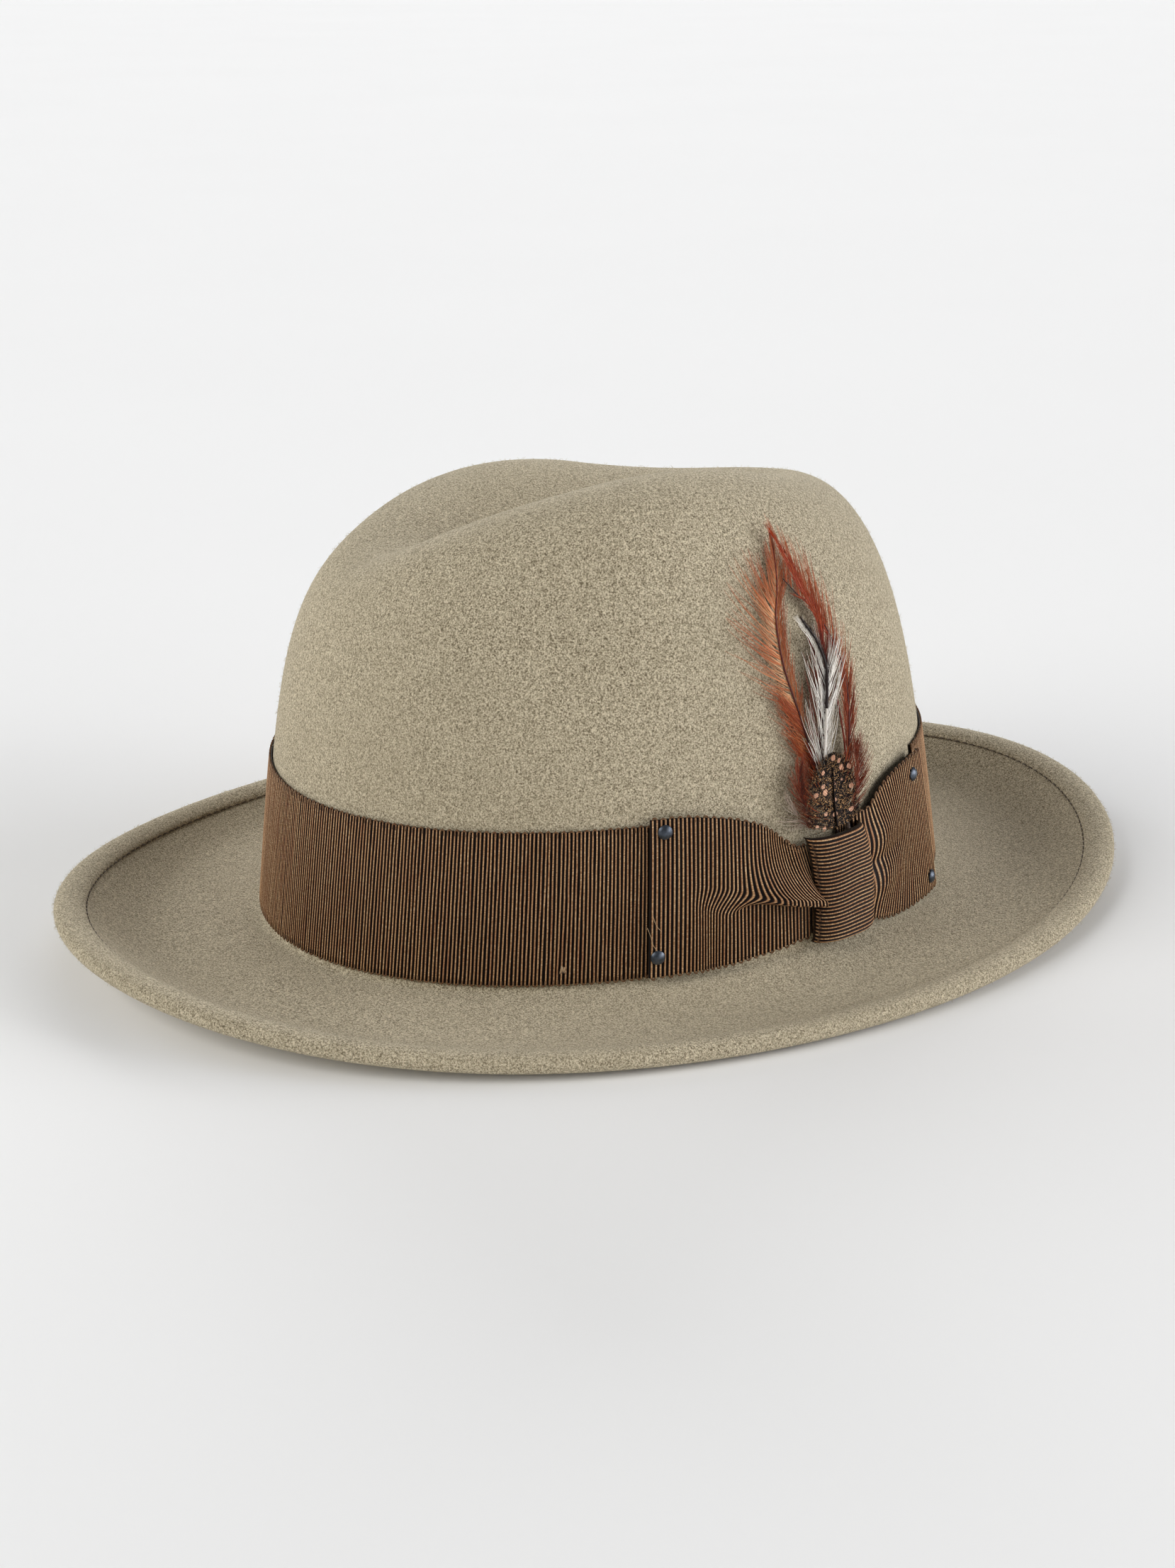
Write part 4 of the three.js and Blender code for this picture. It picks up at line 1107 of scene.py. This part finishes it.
def make_stem(material):
    """The quills end in a stem bound with thread, which slides behind the knot."""
    degrees = KNOT_MIDDLE + 0.2
    foot = wall(degrees * DEGREE, STEM_LOW, STEM_OFFSET)
    head = wall(degrees * DEGREE, STEM_HIGH, STEM_OFFSET)
    share = np.linspace(0, 1, 400)
    radius = np.interp(share, (0, 0.12, 0.9, 1), (0.4, 0.78, 0.78, 0.5))
    line = foot + (head - foot) * share[:, None]
    heap = Heap()
    heap.add(*tubes(line[None, ::10], radius[None, ::10], 16))
    along = unit(head - foot)
    side = unit(np.cross(along, UP + 0.3))
    other = np.cross(along, side)
    turn = share * TURN * 26
    wound = radius + 0.05
    coil = line + wound[:, None] * (np.cos(turn)[:, None] * side + np.sin(turn)[:, None] * other)
    heap.add(*tubes(coil[None, 20:-20], np.full((1, 360), 0.13), 6))
    dress(heap.build("quill_stem_binding"), material, "quill", "quill_stem", body="feather_mount")


# ---------- inside ----------

LINING_COLUMNS = 720
LINING_BORDER = 47.5
BAND_COLUMNS = 360
TOOLED_LINE = 44.6
REAR_BOW_HEIGHT = 7.5
TAG_START, TAG_SWEEP, TAG_HEIGHT, TAG_LENGTH = 196, 8, 36, 18


def make_ring(name, rings, **facts):
    """A piece whose rings of points go round its section; the last ring joins the first."""
    rows, columns, _ = rings.shape
    return single(name, rings, grid_faces(rows, columns, True, True), **facts)


def make_sweatband(material):
    """A leather band whose top edge is turned and tooled with a line."""
    heights = np.concatenate([np.linspace(2.6, 43.5, 30), [44.2, TOOLED_LINE, 45.0, 45.6, 46.6, 47.5]])
    angle = ring_angles(BAND_COLUMNS)
    wave = 0.35 * np.sin(9 * angle + 0.6) + 0.25 * np.sin(14 * angle)

    def ring(height, offset):
        return wall(angle, height + wave * smoothstep(6, SWEATBAND_HEIGHT, height), offset)

    def groove(height):
        return 0.22 * math.exp(-((height - TOOLED_LINE) / 0.35) ** 2)

    rings = [ring(h, -LEATHER_OUT) for h in heights]
    rings.append(wall(angle, SWEATBAND_HEIGHT - 0.1 + wave, -(LEATHER_OUT + LEATHER_IN) / 2))
    rings += [ring(h, -LEATHER_IN + 0.1 + groove(h)) for h in heights[::-1]]
    dress(make_ring("sweatband_leather_band", np.stack(rings)), material, "sweatband_leather", "sweatband")


def make_reed(material, thread):
    """The reed in its leather sleeve, and the whipped stitches that hold the band to it."""
    angle = ring_angles(1200)
    middle = LINING_OUT + 0.2 + REED_RADIUS
    pucker = REED_RADIUS * (0.93 + 0.05 * np.cos(angle * 150))
    piece = single("sweatband_reed_sleeve", *loop_tube(break_point(angle, -middle, 0.7), pucker, 14))
    dress(piece, material, "sweatband_leather", "sweatband_reed")
    points = stitches(lambda a, out: wall(a, 4.1, -LEATHER_IN - 0.15 - out),
                      pitch=3.6, length=2.6, radius=0.2, dip=0.3, lean=2.0)
    dress(single("sweatband_stitches", *points), thread, "thread", "sweatband_thread")


def make_bow_part(name, node, material, shape, inner, outer, facts):
    """A ribbed slab of the rear bow: shape is its angle and height, inner and outer its two offsets."""
    piece = single(name, *slab(wall(*shape, -LEATHER_IN - inner), wall(*shape, -LEATHER_IN - outer)),
                   **both_faces(rib_facts(*facts)))
    dress(piece, material, "trim_ribbon", node)


def make_rear_bow(material):
    """A little flat ribbon bow at the back of the sweatband: its two loops and the wrap over their middle."""
    u, v = np.meshgrid(np.linspace(0, 1, 97), np.linspace(0, 1, 15))
    across, up = 2 * u - 1, 2 * v - 1
    half = 1.6 + 2.6 * np.abs(across) ** 0.7
    angle = (180 + across * 8) * DEGREE
    rib = 0.5 + 0.5 * np.cos(u * 60 * TURN)
    puff = 0.35 * np.sin(np.abs(across) * math.pi) * (1 - up ** 2)
    make_bow_part("sweatband_bow_loops", "sweatband_bow", material, (angle, REAR_BOW_HEIGHT + half * up),
                  1.3, 1.75 + puff + 0.06 * rib, (u * 60, v * 8, rib))
    u, v = np.meshgrid(np.linspace(0, 1, 33), np.linspace(0, 1, 49))
    across, up = 2 * u - 1, 2 * v - 1
    rib = 0.5 + 0.5 * np.cos(v * 12 * TURN)
    round_off = 0.7 * np.sqrt(np.maximum(1 - across ** 4, 0))
    angle = (180 + across * 1.2) * DEGREE
    make_bow_part("sweatband_bow_wrap", "sweatband_bow_knot", material, (angle, REAR_BOW_HEIGHT + 2.2 * up),
                  2.45, 2.7 + round_off + 0.06 * rib, (v * 12, u * 4, rib))


def lining_ring(angle, rise, depth):
    """A ring of the lining, with small gathers where it meets the piping."""
    near = np.exp(-((rise / DEGREE - LINING_BORDER) / 9) ** 2)
    ease = near * (0.28 * np.sin(angle * 61) + 0.2 * np.sin(angle * 97 + 1.3))
    return crown_shell(angle, rise, -LINING_OUT - depth - np.maximum(ease, 0))


def make_lining_side(material):
    """The lining's side strip; run is millimetres round and millimetres down."""
    angle = ring_angles(LINING_COLUMNS)
    rises = np.linspace(11, 45.2, 34) * DEGREE
    rings = [lining_ring(angle, rise, 0) for rise in rises]
    rings += [lining_ring(angle, rise, LINING) for rise in rises[::-1]]
    around, down = np.meshgrid(np.linspace(0, 600, LINING_COLUMNS), np.linspace(0, 50, len(rings)))
    run = np.stack([around, down, 0 * down], -1).reshape(-1, 3)
    piece = make_ring("lining_side_cloth", np.stack(rings), run=run)
    dress(piece, material, "satin", "lining_side")


def make_lining_tip(material):
    """The lining's top, which follows the crown's dent at a small offset, with small gathers at its border.
    """
    rises = np.linspace(49.8, 88.5, 70) * DEGREE
    angle = ring_angles(LINING_COLUMNS)
    rings = [lining_ring(angle, rise, 0) for rise in rises[::-1]]
    rings += [lining_ring(angle, rise, LINING) for rise in rises]
    poles = [crown_shell(0.0, math.pi / 2, -LINING_OUT - depth) for depth in (0, LINING)]
    points, quads, fans = capped(np.stack(rings), poles)
    piece = single("lining_tip_cloth", points, quads, fans, run=points * (1, 1, 0))
    dress(piece, material, "satin", "lining_tip")


def make_piping(material):
    """Two strands of satin cord, twisted round each other where the lining's side and top meet."""
    angle = ring_angles(3000)
    outward = oval_outward(angle, CROWN_HALF_WIDTH, CROWN_HALF_LENGTH)
    middle = crown_shell(angle, LINING_BORDER * DEGREE, -LEATHER_OUT - 0.9 + 0 * angle)
    heap = Heap()
    for strand in (0, math.pi):
        turn = 220 * angle + strand
        twist = outward * np.cos(turn)[:, None] + UP * np.sin(turn)[:, None]
        heap.add(*loop_tube(middle + 0.36 * twist, 0.42, 6))
    dress(heap.build("lining_piping_cord"), material, "satin_cord", "lining_piping")


def make_size_tag(material, thread):
    """A plain woven tag whose foot curls in, sewn along its top edge."""
    u, v = np.meshgrid(np.linspace(0, 1, 40), np.linspace(0, 1, 60))
    angle = (TAG_START + TAG_SWEEP * u) * DEGREE
    height = TAG_HEIGHT + TAG_LENGTH * v
    curl = 0.5 * smoothstep(0.75, 1.0, 1 - v) + 0.08 * np.sin(u * 9)
    inner, outer = (wall(angle, height, -LEATHER_IN - GAP - depth - curl) for depth in (0.1, 0.45))
    run = np.stack([u * 13, v * TAG_LENGTH, 0 * u], -1).reshape(-1, 3)
    piece = single("size_tag_cloth", *slab(inner, outer), run=np.concatenate([run, run]))
    dress(piece, material, "tag", "size_tag")
    heap = Heap()
    share = np.linspace(0, 1, 5)
    for k in range(9):
        angle = (TAG_START + 0.5 + k * 0.85 + 0.5 * share) * DEGREE
        line = wall(angle, 53.0, -LEATHER_IN - GAP - 0.55 - 0.2 * np.sin(share * math.pi))
        heap.add(*tubes(line[None], np.full((1, 5), 0.14)))
    dress(heap.build("size_tag_stitches"), thread, "thread")


# ---------- stage ----------

FLOOR_REACH = 9000


def make_stage():
    x, y = FLOOR_REACH, FLOOR_REACH
    floor = single("floor", [[-x, -y, 0], [x, -y, 0], [x, y, 0], [-x, y, 0]], [[0, 1, 2, 3]], smooth=False)
    s = Shader("floor")
    cloud = s.noise(s.place(), 3, 2)
    colour = s.mix(cloud, (0.93, 0.93, 0.925, 1), (0.95, 0.95, 0.945, 1))
    floor.data.materials.append(s.set(Base_Color=colour, Roughness=0.9, Specular_IOR_Level=0.1))


def towards(azimuth, elevation):
    """A direction from the hat, with the azimuth from the hat's front towards the wearer's left."""
    return Vector((math.sin(azimuth) * math.cos(elevation), -math.cos(azimuth) * math.cos(elevation),
                   math.sin(elevation)))


LIGHT_SOFTNESS = 45
# Name, azimuth and elevation in degrees, strength, colour
LIGHTS = (("left_light", 1, 32, 1.8, (1.0, 0.99, 0.96)),
          ("right_light", 151, 12, 2.35, (0.98, 0.99, 1.03)),
          ("front_light", 121, 12, 1.0, (1.0, 0.99, 0.98)),
          ("back_left_light", -59, 12, 1.4, (0.98, 0.99, 1.02)),
          ("back_light", 241, 12, 1.9, (0.98, 0.99, 1.02)))
WORLD_STRENGTH = 0.15
WORLD_SEEN = (0.88, 0.88, 0.876, 1)


def make_lights():
    """Large soft sources far away, so that they light the hat and the floor evenly."""
    for name, azimuth, elevation, strength, colour in LIGHTS:
        data = bpy.data.lights.new(name, "SUN")
        data.energy = strength
        data.angle = LIGHT_SOFTNESS * DEGREE
        data.color = colour
        light = bpy.data.objects.new(name, data)
        source = towards(azimuth * DEGREE, elevation * DEGREE)
        light.rotation_euler = source.to_track_quat("Z", "Y").to_euler()
        bpy.context.scene.collection.objects.link(light)


def make_world():
    """Dim where it lights the hat, and near the floor's tone where the camera sees it."""
    world = bpy.data.worlds.new("studio")
    world.use_nodes = True
    tree = world.node_tree
    lit = tree.nodes["Background"]
    lit.inputs["Color"].default_value = (1, 1, 1, 1)
    lit.inputs["Strength"].default_value = WORLD_STRENGTH
    seen = tree.nodes.new("ShaderNodeBackground")
    seen.inputs["Color"].default_value = WORLD_SEEN
    seen.inputs["Strength"].default_value = 1.0
    path = tree.nodes.new("ShaderNodeLightPath")
    mix = tree.nodes.new("ShaderNodeMixShader")
    tree.links.new(path.outputs["Is Camera Ray"], mix.inputs[0])
    tree.links.new(lit.outputs[0], mix.inputs[1])
    tree.links.new(seen.outputs[0], mix.inputs[2])
    tree.links.new(mix.outputs[0], tree.nodes["World Output"].inputs["Surface"])
    bpy.context.scene.world = world
    bpy.context.scene.view_settings.view_transform = "Standard"


CAMERA_AZIMUTH, CAMERA_ELEVATION, CAMERA_ROLL = 61.0, 21.0, -0.5
CAMERA_DISTANCE = 0.75
CAMERA_LENS = 57.19
CAMERA_SHIFT = (-0.0096, 0.0497)


def make_camera():
    """Looks at the hat's middle, level with the band's lower edge, from the wearer's front left."""
    azimuth, elevation, roll = (v * DEGREE for v in (CAMERA_AZIMUTH, CAMERA_ELEVATION, CAMERA_ROLL))
    back = towards(azimuth, elevation)
    right = Vector((math.cos(azimuth), math.sin(azimuth), 0))
    up = back.cross(right)
    right, up = right * math.cos(roll) + up * math.sin(roll), up * math.cos(roll) - right * math.sin(roll)
    data = bpy.data.cameras.new("camera")
    data.lens = CAMERA_LENS
    data.shift_x, data.shift_y = CAMERA_SHIFT
    data.clip_start, data.clip_end = 0.05, 30
    camera = bpy.data.objects.new("camera", data)
    at = back * CAMERA_DISTANCE
    camera.matrix_world = Matrix((
        (right[0], up[0], back[0], at[0]),
        (right[1], up[1], back[1], at[1]),
        (right[2], up[2], back[2], at[2] + BAND_BASE * MM),
        (0, 0, 0, 1)))
    bpy.context.scene.collection.objects.link(camera)
    bpy.context.scene.camera = camera


# ---------- everything ----------

def make_hat():
    ribbon = grosgrain_material("grosgrain")
    trim = grosgrain_material("trim_ribbon", 0.9)
    stitch = thread_material("stitch_thread", srgb(96, 82, 64))
    ribbon_thread = thread_material("ribbon_thread", srgb(196, 164, 126))
    make_felt()
    make_nap()
    make_welt_stitches(stitch)
    make_hatband(ribbon)
    make_tacks(ribbon_thread)
    make_wing("bow_front_wing", front_wing, FRONT_RIBS, ribbon, 0)
    make_wing("bow_rear_wing", rear_wing, REAR_RIBS, ribbon, 1)
    make_knot(ribbon)
    make_studs(gunmetal_material())
    make_stray_threads(ribbon_thread)
    leather = leather_material()
    make_sweatband(leather)
    make_reed(leather, stitch)
    make_rear_bow(trim)
    satin = satin_material("lining_satin", srgb(142, 120, 84))
    piping = satin_material("piping_satin", srgb(96, 72, 46))
    make_lining_side(satin)
    make_lining_tip(satin)
    make_piping(piping)
    make_size_tag(tag_material(), stitch)


def make_feather_mount():
    make_stem(thread_material("quill_thread", srgb(70, 48, 32)))
    barbs = barb_material("feather_barbs")
    make_feather("orange_hackle_barbs", "orange_feather", "orange_hackle", barbs, 31, *ORANGE)
    make_feather("red_hackle_barbs", "red_feather", "red_hackle", barbs, 37, *RED)
    make_feather("striped_hackle_barbs", "striped_feather", "striped_hackle", barbs, 41, *STRIPED)
    make_feather("guinea_feather_vane", "guinea_feather", "guinea_feather", guinea_material(), 43, *GUINEA)
    make_feather("down_tuft_barbs", "down", "down_tuft", barbs, 47, *DOWN)


make_camera()
make_stage()
make_lights()
make_world()
make_hat()
make_feather_mount()
